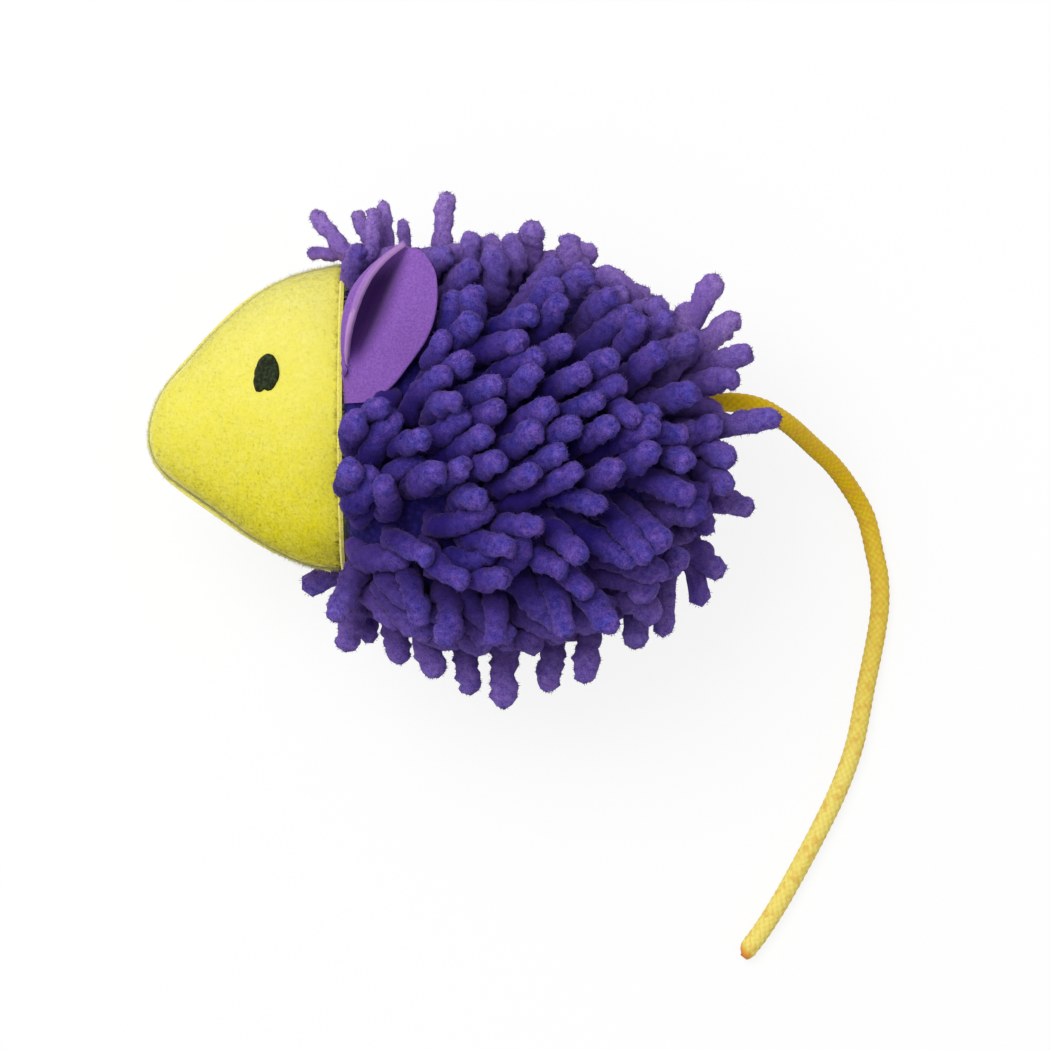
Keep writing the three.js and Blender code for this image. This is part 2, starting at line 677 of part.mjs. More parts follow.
// The body.
const bodyShell = bodyLoft(0).subtract(bodyLoft(backingWall)).intersect(bodyStop);
const leftNoodles = leftNoodlePixels.map((pixels) => seenNoodle(pixels, 1));
const rightNoodles = [...rightNoodlePixels.map((pixels) => seenNoodle(pixels, -1)), ...groundNoodles()];
for (const [side, half, noodles, name] of [
  [1, leftHalf, leftNoodles, 'left'],
  [-1, rightHalf, rightNoodles, 'right'],
]) {
  const pile = wasm.Manifold.union(noodles.map(solid)).subtract(bodyLoft(backingWall / 2));
  const panel = bodyShell.add(pile).intersect(half).intersect(aboveGround)
    .subtract(groove(backSeam, bodySeamSteps))
    .subtract(groove(bellySeam, bodySeamSteps))
    .subtract(groove(closingCurve, closingTubeSteps))
    .subtract(groove(neckSeam, neckSeamSteps))
    .subtract(pleatPockets)
    .subtract(tailBore());
  add(`${name}_body_panel`, mainBody(panel), violetChenille);
}
add('back_seam_thread', tube(backSeam, threadDiameter, bodySeamSteps, threadSides), violetThread);
add('belly_seam_thread', tube(bellySeam, threadDiameter, bodySeamSteps, threadSides), violetThread);
add('closing_stitch', tube(closingCurve, threadDiameter, closingTubeSteps, threadSides), violetThread);
add('body_stuffing', bodyLoft(backingWall + fitGap).intersect(bodyStop).subtract(pleatPockets)
  .subtract(catnip(fitGap)).subtract(knot(fitGap)).subtract(tailBore()), whiteFill);
add('catnip_filling', catnip(0), driedCatnip);
add('tail_knot', knot(0), yellowSatin);
add('tail_cord', tube(tailCurve, cordDiameter, cordSteps, cordSides), yellowSatin);

export default mouse;
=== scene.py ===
# %% [markdown]
# # A catnip mouse, dressed in Blender
# The toy is a stuffed cat toy: a plush head, a round body covered in chenille noodles, two felt
# ears, stitched eyes and a satin cord for a tail. It lies on its right flank on a pale floor.
# The solids come from the CAD model, and this lesson gives each of them its real surface.

# %% Load the frame
import math

import bmesh
import bpy
import numpy as np
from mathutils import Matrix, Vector, noise


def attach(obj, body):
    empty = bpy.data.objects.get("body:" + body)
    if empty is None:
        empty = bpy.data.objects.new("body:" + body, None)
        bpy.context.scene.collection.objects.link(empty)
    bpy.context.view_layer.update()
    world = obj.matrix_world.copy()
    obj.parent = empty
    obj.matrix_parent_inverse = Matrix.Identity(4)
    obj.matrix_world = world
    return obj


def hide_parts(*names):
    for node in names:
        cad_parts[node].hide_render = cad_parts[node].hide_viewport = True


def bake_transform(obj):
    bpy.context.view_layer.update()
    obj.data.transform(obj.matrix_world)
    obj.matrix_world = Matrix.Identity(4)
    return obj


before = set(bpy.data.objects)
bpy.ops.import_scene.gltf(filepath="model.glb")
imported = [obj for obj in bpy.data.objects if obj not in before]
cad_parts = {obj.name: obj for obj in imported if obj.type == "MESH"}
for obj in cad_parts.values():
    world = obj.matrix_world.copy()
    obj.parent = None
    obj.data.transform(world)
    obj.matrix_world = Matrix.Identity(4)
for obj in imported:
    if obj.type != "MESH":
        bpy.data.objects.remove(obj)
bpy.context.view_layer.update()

# %% [markdown]
# ## Units, colours and nodes
# Shapes are worked out in millimetres, because cloth and yarn are, and each finished mesh is
# scaled to metres. Colours are written as on a screen and turned linear here. One small function
# adds any shader node: options are its own settings, and sockets are numbers or other nodes'
# outputs.

# %% Helpers for colour and nodes
MM = 0.001


def linear(code):
    """A screen colour such as #ebe162 as the linear colour that a shader takes."""
    parts = [int(code[start:start + 2], 16) / 255 for start in (1, 3, 5)]
    return (*[p / 12.92 if p <= 0.04045 else ((p + 0.055) / 1.055) ** 2.4 for p in parts], 1.0)


def add(finish, kind, sockets=None, **options):
    """Adds a node to a material or the world, with its settings and what its sockets take."""
    tree = finish.node_tree
    made = tree.nodes.new("ShaderNode" + kind)
    for option, value in options.items():
        setattr(made, option, value)
    for socket, value in (sockets or {}).items():
        if isinstance(value, bpy.types.NodeSocket):
            tree.links.new(value, made.inputs[socket])
        else:
            made.inputs[socket].default_value = value
    return made


# A Mix node that mixes colours takes them at these sockets and gives the result at the last.
MIX_A, MIX_B, MIX_OUT = 6, 7, 2


def new_finish(name, **surface):
    """A material with one Principled shader, whose plain sockets are given by name."""
    finish = bpy.data.materials.new(name)
    finish.use_nodes = True
    shader = finish.node_tree.nodes["Principled BSDF"]
    for socket, value in surface.items():
        shader.inputs[socket.replace("_", " ")].default_value = value
    return finish, shader


# %% [markdown]
# ## The camera
# The photograph looks straight down at the toy from about 0.65 m, so that the seam plane, 30 mm
# above the floor, shows at 0.15 mm to the pixel. Every place read from the photograph passes
# through `from_photo`, which knows how the view spreads with distance.

# %% Set up the camera
SEAM_Z = 30.0
PHOTO_SIZE = 1050
MM_PER_PIXEL = 0.15
LENS = 150.0
SENSOR = 36.0
VIEW_X, VIEW_Y = 8.325, -11.325
VIEW_Z = SEAM_Z + PHOTO_SIZE * MM_PER_PIXEL * LENS / SENSOR

camera_data = bpy.data.cameras.new("camera")
camera_data.lens = LENS
camera_data.sensor_width = SENSOR
camera_data.clip_start = 0.01
camera = bpy.data.objects.new("camera", camera_data)
camera.location = (VIEW_X * MM, VIEW_Y * MM, VIEW_Z * MM)
bpy.context.collection.objects.link(camera)
bpy.context.scene.camera = camera


def from_photo(across, down, height):
    """The place in millimetres that a pixel of the photograph shows at a height above the floor."""
    spread = MM_PER_PIXEL * (VIEW_Z - height) / (VIEW_Z - SEAM_Z)
    middle = PHOTO_SIZE / 2
    return Vector((VIEW_X + (across - middle) * spread, VIEW_Y - (down - middle) * spread, height))


print("camera height in mm:", round(VIEW_Z, 2))

# %% [markdown]
# ## From a bmesh to a piece
# Every piece is made as a bmesh in millimetres. `make_piece` scales it, shades it smooth, gives
# it its finish and hangs it on the body that it moves with.

# %% Helpers for pieces


def move_to(shape, places):
    """Puts each vertex of a bmesh at its place."""
    for vertex, place in zip(shape.verts, places):
        vertex.co = place


def face_outwards(sheet, flank):
    """Turns the faces of a sheet over where they point into the toy."""
    if sum(face.normal.z for face in sheet.faces) * flank < 0:
        bmesh.ops.reverse_faces(sheet, faces=sheet.faces)


def make_piece(shape, name, finish, body="mouse", replaces=()):
    """Turns a bmesh in millimetres into a named piece in metres."""
    for face in shape.faces:
        face.smooth = True
    bmesh.ops.scale(shape, vec=(MM, MM, MM), verts=shape.verts)
    mesh = bpy.data.meshes.new(name)
    shape.to_mesh(mesh)
    shape.free()
    mesh.materials.append(finish)
    piece = bpy.data.objects.new(name, mesh)
    bpy.context.collection.objects.link(piece)
    if body:
        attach(piece, body)
    if replaces:
        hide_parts(*replaces)
    print(name, "has", sum(len(face.vertices) - 2 for face in mesh.polygons), "triangles")
    return piece


def point_values(piece, name, values):
    """Keeps one number for each vertex, which the material reads."""
    attribute = piece.data.attributes.new(name, "FLOAT", "POINT")
    attribute.data.foreach_set("value", np.asarray(values, np.float32))


def skin_ways(piece, ways=None):
    """Keeps the way the skin faces at each vertex, so that a pile is lit as its skin is."""
    if ways is None:
        ways = [v.normal for v in piece.data.vertices]
    attribute = piece.data.attributes.new("skin", "FLOAT_VECTOR", "POINT")
    attribute.data.foreach_set("vector", np.asarray(ways, np.float32).ravel())


# %% [markdown]
# ## The tail
# The tail is a 3 mm satin cord: a braid of rayon-bright polyester over a soft core. Its end was
# melted to stop it fraying. A curve with a round bevel would be smooth all round, so the cord is
# a fine tube whose surface rises and falls with the braid, and it follows the CAD's own route.

# %% The tail's route
CORD_DIAMETER = 3.0
TAIL_START = (30.2, 5.0, 30.0)
TAIL_ROUTE = [
    (33.1, 5.3, 30.0), (35.5, 6.2, 30.0), (37.9, 7.0, 29.8), (40.9, 7.0, 29.0),
    (44.0, 6.3, 27.3), (46.3, 5.2, 24.6), (48.5, 3.9, 21.2), (50.3, 2.6, 18.0),
    (52.9, 0.5, 13.6), (55.5, -1.6, 9.6), (57.5, -3.7, 6.6), (59.2, -5.9, 4.4),
    (60.6, -8.0, 2.8), (61.7, -10.2, 1.9), (62.4, -12.7, 1.6), (63.0, -15.6, 1.6),
    (63.7, -19.0, 1.6), (63.9, -23.4, 1.6), (63.4, -27.8, 1.6), (62.6, -32.1, 1.6),
    (61.7, -36.5, 1.6), (60.9, -40.9, 1.6), (60.0, -45.3, 1.6), (58.6, -49.7, 1.6),
    (56.8, -54.1, 1.6), (54.7, -58.4, 1.6), (52.4, -62.8, 1.6), (50.0, -67.2, 1.6),
    (47.5, -71.5, 1.6), (44.8, -75.6, 1.6), (42.3, -78.8, 1.6),
]


def curved(first, last, first_slope, last_slope, part):
    """A smooth curve between two values with known slopes, at a part of the way from 0 to 1."""
    ahead = 1 - part
    return (
        first * ahead ** 2 * (1 + 2 * part)
        + last * part ** 2 * (3 - 2 * part)
        + first_slope * part * ahead ** 2
        - last_slope * part ** 2 * ahead
    )


def smooth_line(points, steps):
    """Points at even steps along a smooth curve through the given ones, and its directions."""
    knots = np.array(points, float)
    gaps = np.linalg.norm(np.diff(knots, axis=0), axis=1)
    places = np.concatenate([[0], np.cumsum(gaps)])
    slopes = np.gradient(knots, places, axis=0)
    wanted = np.linspace(0, places[-1], steps)
    row = np.clip(np.searchsorted(places, wanted) - 1, 0, len(knots) - 2)
    width = (places[row + 1] - places[row])[:, None]
    part = (wanted - places[row])[:, None] / width
    line = curved(knots[row], knots[row + 1], slopes[row] * width, slopes[row + 1] * width, part)
    directions = np.gradient(line, axis=0)
    directions /= np.linalg.norm(directions, axis=1)[:, None]
    return line, directions


def spread(wanted, places, rows):
    """Reads rows of three numbers at the places that are wanted between their own."""
    return np.stack([np.interp(wanted, places, rows[:, k]) for k in range(3)], axis=1)


def carried_frames(directions, first):
    """Two directions across a line at each of its points, carried along it without twisting."""
    sides = []
    across = np.array(first, float)
    for direction in directions:
        across = across - direction * across.dot(direction)
        across /= np.linalg.norm(across)
        sides.append(across)
    sides = np.array(sides)
    return sides, np.cross(directions, sides)


# %% [markdown]
# The braid is a diamond pattern. Two families of strands wind round the cord in opposite ways,
# and at each crossing one of them lies on top. The height of the surface, from 0 in the valleys
# to 1 on the strands, is kept on the mesh so that the material can paint shade into the valleys.

# %% The tail's mesh
CORD_ROWS = 560
CORD_SIDES = 32
BRAID_STRANDS = 8
BRAID_PITCH = 1.25
BRAID_DEPTH = 0.22
MELT_LENGTH, MELT_SLANT = 1.7, 0.35
ROUTE_STEPS = 800


def braid_height(length, turn):
    """How high the braid stands, from 0 to 1, at a length along the cord and a turn round it."""
    one = turn * BRAID_STRANDS / (2 * np.pi) + length / BRAID_PITCH
    other = turn * BRAID_STRANDS / (2 * np.pi) - length / BRAID_PITCH
    on_top = (np.floor(one) + np.floor(other)) % 2 == 0
    across = np.where(on_top, other % 1, one % 1)
    along = np.where(on_top, one % 1, other % 1)
    return np.sqrt(np.sin(np.pi * across)) * (0.55 + 0.45 * np.sin(np.pi * along))


shape = bmesh.new()
bmesh.ops.create_cone(
    shape, cap_ends=True, cap_tris=True, segments=CORD_SIDES,
    radius1=1, radius2=1, depth=1,
)
lengthwise = [e for e in shape.edges if abs(e.verts[0].co.z - e.verts[1].co.z) > 0.5]
bmesh.ops.subdivide_edges(shape, edges=lengthwise, cuts=CORD_ROWS, use_grid_fill=True)

route, ways = smooth_line([TAIL_START, *TAIL_ROUTE], ROUTE_STEPS)
sides, ups = carried_frames(ways, (0, 1, 0))
steps = np.linalg.norm(np.diff(route, axis=0), axis=1)
reached = np.concatenate([[0], np.cumsum(steps)])
whole_cord = reached[-1]

rest = np.array([v.co for v in shape.verts])
turn = np.arctan2(rest[:, 1], rest[:, 0])
radial = np.hypot(rest[:, 0], rest[:, 1])
length = (rest[:, 2] + 0.5) * whole_cord
rise = braid_height(length, turn)
# The melted end is slanted, because the hot blade crossed the cord at an angle.
to_end = whole_cord - length + MELT_SLANT * np.cos(turn - 0.8)
melt = np.clip(1 - to_end / MELT_LENGTH, 0, 1)
rise = rise * (1 - melt)
radius = CORD_DIAMETER / 2 - BRAID_DEPTH * (1 - rise) * (1 - 0.6 * melt)
radius *= np.sqrt(np.clip(1 - melt ** 2 * 0.93, 0, 1))
place, side, up = (spread(length, reached, rows) for rows in (route, sides, ups))
out = side * np.cos(turn)[:, None] + up * np.sin(turn)[:, None]
move_to(shape, place + out * (radius * radial)[:, None])
print("cord length in mm:", round(whole_cord, 1))

# %% [markdown]
# Satin cord is braided from flat, bright filament. It is golden, painted paler on the strands as a
# painted highlight and darker in the valleys as painted shade. It turns to lemon towards its end,
# with a few warm flecks where the dye took unevenly. The melted tip is amber and smoother.

# %% The tail's finish
satin_cord, shader = new_finish(
    "braided_polyester_satin_cord",
    Roughness=0.45, IOR=1.5, Sheen_Weight=0.02, Sheen_Roughness=0.35, Specular_IOR_Level=0.08,
)
shader.inputs["Sheen Tint"].default_value = linear("#fff6c4")
where = add(satin_cord, "TexCoord").outputs["Object"]
height_of = add(satin_cord, "Attribute", attribute_name="braid").outputs["Fac"]
share_of = add(satin_cord, "Attribute", attribute_name="share").outputs["Fac"]
melt_of = add(satin_cord, "Attribute", attribute_name="melt").outputs["Fac"]
gold_to_lemon = add(satin_cord, "MapRange", {0: share_of, 1: 0.35, 2: 0.75})
# Painted light and shade: the braid's strands are painted paler, as lit, and its valleys darker, as painted
# shade.
strand = add(
    satin_cord, "Mix",
    {0: gold_to_lemon.outputs[0], MIX_A: linear("#e9c312"), MIX_B: linear("#efe07c")},
    data_type="RGBA",
)
valley = add(
    satin_cord, "Mix",
    {0: gold_to_lemon.outputs[0], MIX_A: linear("#cda503"), MIX_B: linear("#e3c84e")},
    data_type="RGBA",
)
braid_shade_and_light = add(
    satin_cord, "Mix",
    {0: height_of, MIX_A: valley.outputs[MIX_OUT], MIX_B: strand.outputs[MIX_OUT]},
    data_type="RGBA",
)
# Warmer flecks of 1.3 mm, where the strands turn away.
fleck = add(satin_cord, "TexNoise", {"Vector": where, "Scale": 1 / (1.3 * MM), "Detail": 2.0})
fleck_share = add(satin_cord, "MapRange", {0: fleck.outputs[0], 1: 0.5, 2: 0.68, 4: 0.5})
flecked = add(
    satin_cord, "Mix",
    {0: fleck_share.outputs[0], MIX_A: braid_shade_and_light.outputs[MIX_OUT], MIX_B: linear("#d99a3c")},
    data_type="RGBA",
)
tipped = add(
    satin_cord, "Mix",
    {0: melt_of, MIX_A: flecked.outputs[MIX_OUT], MIX_B: linear("#d06a1e")},
    data_type="RGBA",
)
satin_cord.node_tree.links.new(tipped.outputs[MIX_OUT], shader.inputs["Base Color"])
filament = add(satin_cord, "TexNoise", {"Vector": where, "Scale": 1 / (0.25 * MM)})
bump = add(satin_cord, "Bump", {"Strength": 0.35, "Distance": 0.0001, "Height": filament.outputs[0]})
satin_cord.node_tree.links.new(bump.outputs[0], shader.inputs["Normal"])

tail = make_piece(shape, "satin_tail", satin_cord, "tail", ["tail_cord"])
point_values(tail, "braid", rise)
point_values(tail, "melt", melt)
point_values(tail, "share", length / whole_cord)

# %% [markdown]
# ## The stuffed shapes
# The head and the body are lofts: a row of ellipses along the toy. The tables below are the
# CAD's own. Their half sizes are squared before a smooth curve goes through them, because the
# square of a round nose's radius grows evenly from its tip.

# %% The sections of the head and body
NOSE_X, HEAD_LENGTH, HEAD_HEIGHT, HEAD_WIDTH = -48.1, 29.4, 45.9, 37.0
BODY_LENGTH, BODY_HEIGHT, BODY_WIDTH, BODY_Y = 51.8, 54.0, 46.0, 0.0
NECK_RISE, TAIL_RISE = 4.7, 5.0
NECK_X = NOSE_X + HEAD_LENGTH
NECK_Y = BODY_Y + NECK_RISE
REAR_X = NECK_X + BODY_LENGTH

HEAD_SHARES = [
    (0, 0, -0.12), (0.03, 0.17, -0.11), (0.1, 0.31, -0.085), (0.22, 0.46, -0.055),
    (0.36, 0.62, -0.02), (0.52, 0.78, 0), (0.7, 0.9, 0), (0.86, 0.97, -0.01), (1, 1, 0),
]
BODY_SHARES = [
    (0, 1, 0, 1, 0), (0.08, 0.65, 0.35, 0.6, 0), (0.17, 0.4, 0.6, 0.28, 0),
    (0.3, 0.1, 0.9, 0.06, 0), (0.45, 0, 1, 0, 0), (0.6, 0, 0.95, 0, 0),
    (0.74, 0, 0.845, 0, 0.05), (0.84, 0, 0.71, 0, 0.15), (0.92, 0, 0.53, 0, 0.4),
    (0.97, 0, 0.33, 0, 0.75), (1, 0, 0, 0, 1),
]
# Each row: the place along, the middle's height up the back, and the two half sizes squared.
head_rows = np.array([
    (NOSE_X + along * HEAD_LENGTH, NECK_Y + droop * HEAD_HEIGHT / 2,
     (swell * HEAD_HEIGHT / 2) ** 2, (swell * HEAD_WIDTH / 2) ** 2)
    for along, swell, droop in HEAD_SHARES
])
body_rows = np.array([
    (NECK_X + along * BODY_LENGTH, BODY_Y + rise * NECK_RISE + tail_part * TAIL_RISE,
     ((neck * HEAD_HEIGHT + belly * BODY_HEIGHT) / 2) ** 2,
     ((neck * HEAD_WIDTH + belly * BODY_WIDTH) / 2) ** 2)
    for along, neck, belly, rise, tail_part in BODY_SHARES
])


def sections(rows, places):
    """The middle, half height and half width of the sections at some places along the toy."""
    places = np.clip(np.asarray(places, float), rows[0, 0], rows[-1, 0])
    slopes = np.gradient(rows, rows[:, 0], axis=0)
    row = np.clip(np.searchsorted(rows[:, 0], places) - 1, 0, len(rows) - 2)
    width = (rows[row + 1, 0] - rows[row, 0])[..., None]
    part = (places - rows[row, 0])[..., None] / width
    read = curved(rows[row], rows[row + 1], slopes[row] * width, slopes[row + 1] * width, part)
    halves = np.sqrt(np.clip(read[..., 2:], 0, None))
    return read[..., 1], halves[..., 0], halves[..., 1]


def on_shape(rows, place, turn, flank):
    """The points at some places along and turns round from the back seam over one flank."""
    middle, half_height, half_width = sections(rows, place)
    return np.stack([
        np.broadcast_to(place, middle.shape),
        middle + half_height * np.cos(turn),
        SEAM_Z + flank * half_width * np.sin(turn),
    ], axis=-1)


def half_dome(rows, tip, rim, rim_angle, fineness, flank):
    """Half of a stuffed shape: a quarter or more of an icosphere, laid on the sections."""
    dome = bmesh.new()
    bmesh.ops.create_icosphere(dome, subdivisions=fineness, radius=1)
    for point, away in (((0, 0, 0), (0, 0, -1)), ((math.cos(rim_angle), 0, 0), (-1, 0, 0))):
        everything = dome.verts[:] + dome.edges[:] + dome.faces[:]
        bmesh.ops.bisect_plane(dome, geom=everything, plane_co=point, plane_no=away, clear_outer=True)
    ball = np.array([v.co for v in dome.verts])
    place = tip + (rim - tip) * (1 - ball[:, 0]) / (1 - math.cos(rim_angle))
    turn = np.arctan2(np.clip(ball[:, 2], 0, None), ball[:, 1])
    move_to(dome, on_shape(rows, place, turn, flank))
    bmesh.ops.remove_doubles(dome, verts=dome.verts, dist=0.03)
    middle = Vector(((tip + rim) / 2, BODY_Y, SEAM_Z))
    dome.normal_update()
    if sum((f.calc_center_median() - middle).dot(f.normal) for f in dome.faces) < 0:
        bmesh.ops.reverse_faces(dome, faces=dome.faces)
    dome.normal_update()
    return dome


print("neck at", NECK_X, "rear at", REAR_X)

# %% [markdown]
# ## The plush head
# The head is two cuts of short-pile polyester plush, sewn into a cone and filled hard. An
# icosphere spreads its faces evenly, so the cloth has no grain that runs to the nose, as a grid's
# would. The pile itself is grown on it further down, once the eyes are there.

# %% The head's shape
# The toy lies on its right flank, so that the left one faces up.
FLANKS = ((1, "left"), (-1, "right"))
PLUSH_WALL = 1.4
PILE_LENGTH, PILE_WIDTH = 0.32, 0.09
head_skins = {}


def soft_lumps(shell, size, height):
    """Moves a skin in and out by a smooth noise, as fibre filling does."""
    for vertex in shell.verts:
        vertex.co += vertex.normal * noise.noise(vertex.co / size) * height


def pulled_in(shell, reach, depth, edge_x, edge_depth):
    """Pulls a skin in along its seam, and along the seam at its neck."""
    for vertex in shell.verts:
        pull = depth * math.exp(-((vertex.co.z - SEAM_Z) / reach) ** 2)
        pull += edge_depth * math.exp(-((vertex.co.x - edge_x) / reach) ** 2)
        vertex.co -= vertex.normal * pull


def off_seam_in(finish, apart):
    """How far a place lies off the seam plane, in metres, as a material reads it."""
    above = add(finish, "Math", {0: apart.outputs[2], 1: SEAM_Z * MM}, operation="SUBTRACT")
    return add(finish, "Math", {0: above.outputs[0]}, operation="ABSOLUTE").outputs[0]


def plush_panel(flank, name, node):
    """One cut of the head's plush, sewn and filled."""
    panel = half_dome(
        head_rows, tip=NOSE_X, rim=NECK_X - 0.1, rim_angle=math.pi / 2, fineness=6, flank=flank,
    )
    soft_lumps(panel, size=9.0, height=0.5)
    panel.normal_update()
    pulled_in(panel, reach=0.5, depth=0.12, edge_x=NECK_X, edge_depth=0.3)
    panel.normal_update()
    for vertex in panel.verts:
        vertex.co -= vertex.normal * PILE_LENGTH * 0.4
    head_skins[flank] = np.array([[v.co for v in f.verts] for f in panel.faces if len(f.verts) == 3])
    bmesh.ops.solidify(panel, geom=panel.faces[:], thickness=PLUSH_WALL)
    piece = make_piece(panel, name, yellow_plush, "mouse", [node])
    skin_ways(piece)


# %% [markdown]
# Dyed polyester plush is matt, with a soft glow where the pile tips face away. Its colour is
# mottled by the way the pile lies: paler where the tips show and deeper where the roots do. It is
# painted paler up the back, as painted light from above, and evens out towards the neck. Along
# the head's own seam it is palest, a painted highlight over the shade of the seam.

# %% The plush
yellow_plush, shader = new_finish(
    "short_pile_polyester_plush",
    Roughness=1.0, IOR=1.45, Sheen_Weight=0.25, Sheen_Roughness=0.3, Specular_IOR_Level=0.05,
)
shader.inputs["Sheen Tint"].default_value = linear("#fffde4")
where = add(yellow_plush, "TexCoord").outputs["Object"]
# Patches of 2 mm where the pile was brushed one way, and locks of 0.6 mm.
patch = add(yellow_plush, "TexNoise", {"Vector": where, "Scale": 1 / (2.1 * MM), "Detail": 3.0})
patch_share = add(yellow_plush, "MapRange", {0: patch.outputs[0], 1: 0.38, 2: 0.62})
lock = add(yellow_plush, "TexNoise", {"Vector": where, "Scale": 1 / (0.6 * MM), "Detail": 2.0})
lock_share = add(yellow_plush, "MapRange", {0: lock.outputs[0], 1: 0.35, 2: 0.7})
brushed = add(
    yellow_plush, "Mix",
    {0: patch_share.outputs[0], MIX_A: linear("#e3d70f"), MIX_B: linear("#e6dd76")},
    data_type="RGBA",
)
deeper = add(
    yellow_plush, "Mix",
    {0: lock_share.outputs[0], MIX_A: linear("#dad02e"), MIX_B: brushed.outputs[MIX_OUT]},
    data_type="RGBA",
)
apart = add(yellow_plush, "SeparateXYZ", {0: where})
# Painted light: the plush is painted paler up the back, where the daylight falls from above, and deeper
# towards the belly.
lit_up_the_back = add(yellow_plush, "MapRange", {0: apart.outputs[1], 1: -14 * MM, 2: 22 * MM})
painted_light = add(
    yellow_plush, "Mix",
    {0: lit_up_the_back.outputs[0], MIX_A: linear("#e6da0e"), MIX_B: linear("#e4de86")},
    data_type="RGBA",
)
blended = add(
    yellow_plush, "Mix",
    {0: 0.6, MIX_A: deeper.outputs[MIX_OUT], MIX_B: painted_light.outputs[MIX_OUT]},
    data_type="RGBA",
)
near_neck = add(
    yellow_plush, "MapRange",
    {0: apart.outputs[0], 1: (NECK_X - 3.5) * MM, 2: (NECK_X - 0.4) * MM, 4: 0.5},
)
necked_and_seam_lit = add(
    yellow_plush, "Mix",
    {0: near_neck.outputs[0], MIX_A: blended.outputs[MIX_OUT], MIX_B: linear("#e2d850")},
    data_type="RGBA",
)
# Painted highlight: along the head's own seam the pile is painted pale, over the shade of the seam's
# groove.
off_seam = off_seam_in(yellow_plush, apart)
seam_highlight = add(yellow_plush, "MapRange", {0: off_seam, 1: 3.5 * MM, 2: 0.5 * MM, 4: 0.75})
necked_and_seam_lit = add(
    yellow_plush, "Mix",
    {0: seam_highlight.outputs[0], MIX_A: necked_and_seam_lit.outputs[MIX_OUT], MIX_B: linear("#fdf7a6")},
    data_type="RGBA",
)
tip_of = add(yellow_plush, "Attribute", attribute_name="fibre").outputs["Fac"]
tip_share = add(yellow_plush, "MapRange", {0: tip_of, 4: 0.3})
tipped = add(
    yellow_plush, "Mix",
    {0: tip_share.outputs[0], MIX_A: necked_and_seam_lit.outputs[MIX_OUT], MIX_B: linear("#e9e393")},
    data_type="RGBA",
)
yellow_plush.node_tree.links.new(tipped.outputs[MIX_OUT], shader.inputs["Base Color"])
skin_of = add(yellow_plush, "Attribute", attribute_name="skin").outputs["Vector"]
bump = add(
    yellow_plush, "Bump",
    {"Strength": 0.3, "Distance": 0.00012, "Height": lock.outputs[0], "Normal": skin_of},
)
yellow_plush.node_tree.links.new(bump.outputs[0], shader.inputs["Normal"])

for flank, side_name in FLANKS:
    plush_panel(flank, f"{side_name}_head_plush", f"{side_name}_head_panel")

# %% [markdown]
# ## The eyes
# Each eye is a pad of black satin stitch. Its outline was read from the photograph: round
# at the top, with a notch between two lobes below. A fan of faces is laid on the plush, domed,
# and ridged along its threads.

# %% The eyes
EYE_OUTLINE = [
    (267, 353), (273, 355), (277, 361), (279.5, 369), (280, 376), (277, 384), (272, 391),
    (268, 392), (264.5, 390), (261, 393), (256, 392.5), (253.5, 386), (254, 376), (256, 366),
    (260, 357.5),
]
# How high the pad lies above the floor, for the reading of its outline.
EYE_Z = 44.5
eye_outline = np.array([from_photo(*p, EYE_Z)[:2] for p in EYE_OUTLINE])
EYE_HEIGHT, EYE_SINK, EYE_WALL = 0.9, 0.5, 0.45
THREAD_PITCH, THREAD_RIDGE = 0.34, 0.07

black_thread, shader = new_finish(
    "black_rayon_embroidery_thread",
    Roughness=0.6, IOR=1.5, Specular_IOR_Level=0.12,
)
where = add(black_thread, "TexCoord").outputs["Object"]
thread_noise = add(
    black_thread, "TexNoise", {"Vector": where, "Scale": 1 / (0.5 * MM), "Detail": 2.0}
)
thread_share = add(black_thread, "MapRange", {0: thread_noise.outputs[0], 1: 0.4, 2: 0.7})
inked = add(
    black_thread, "Mix",
    {0: thread_share.outputs[0], MIX_A: linear("#161e0c"), MIX_B: linear("#353d22")},
    data_type="RGBA",
)
black_thread.node_tree.links.new(inked.outputs[MIX_OUT], shader.inputs["Base Color"])


def skin_height(rows, x, y):
    """How far the surface of a stuffed shape stands above the seam plane at a place."""
    middle, half_height, half_width = sections(rows, x)
    return half_width * np.sqrt(np.clip(1 - ((y - middle) / half_height) ** 2, 0, 1))


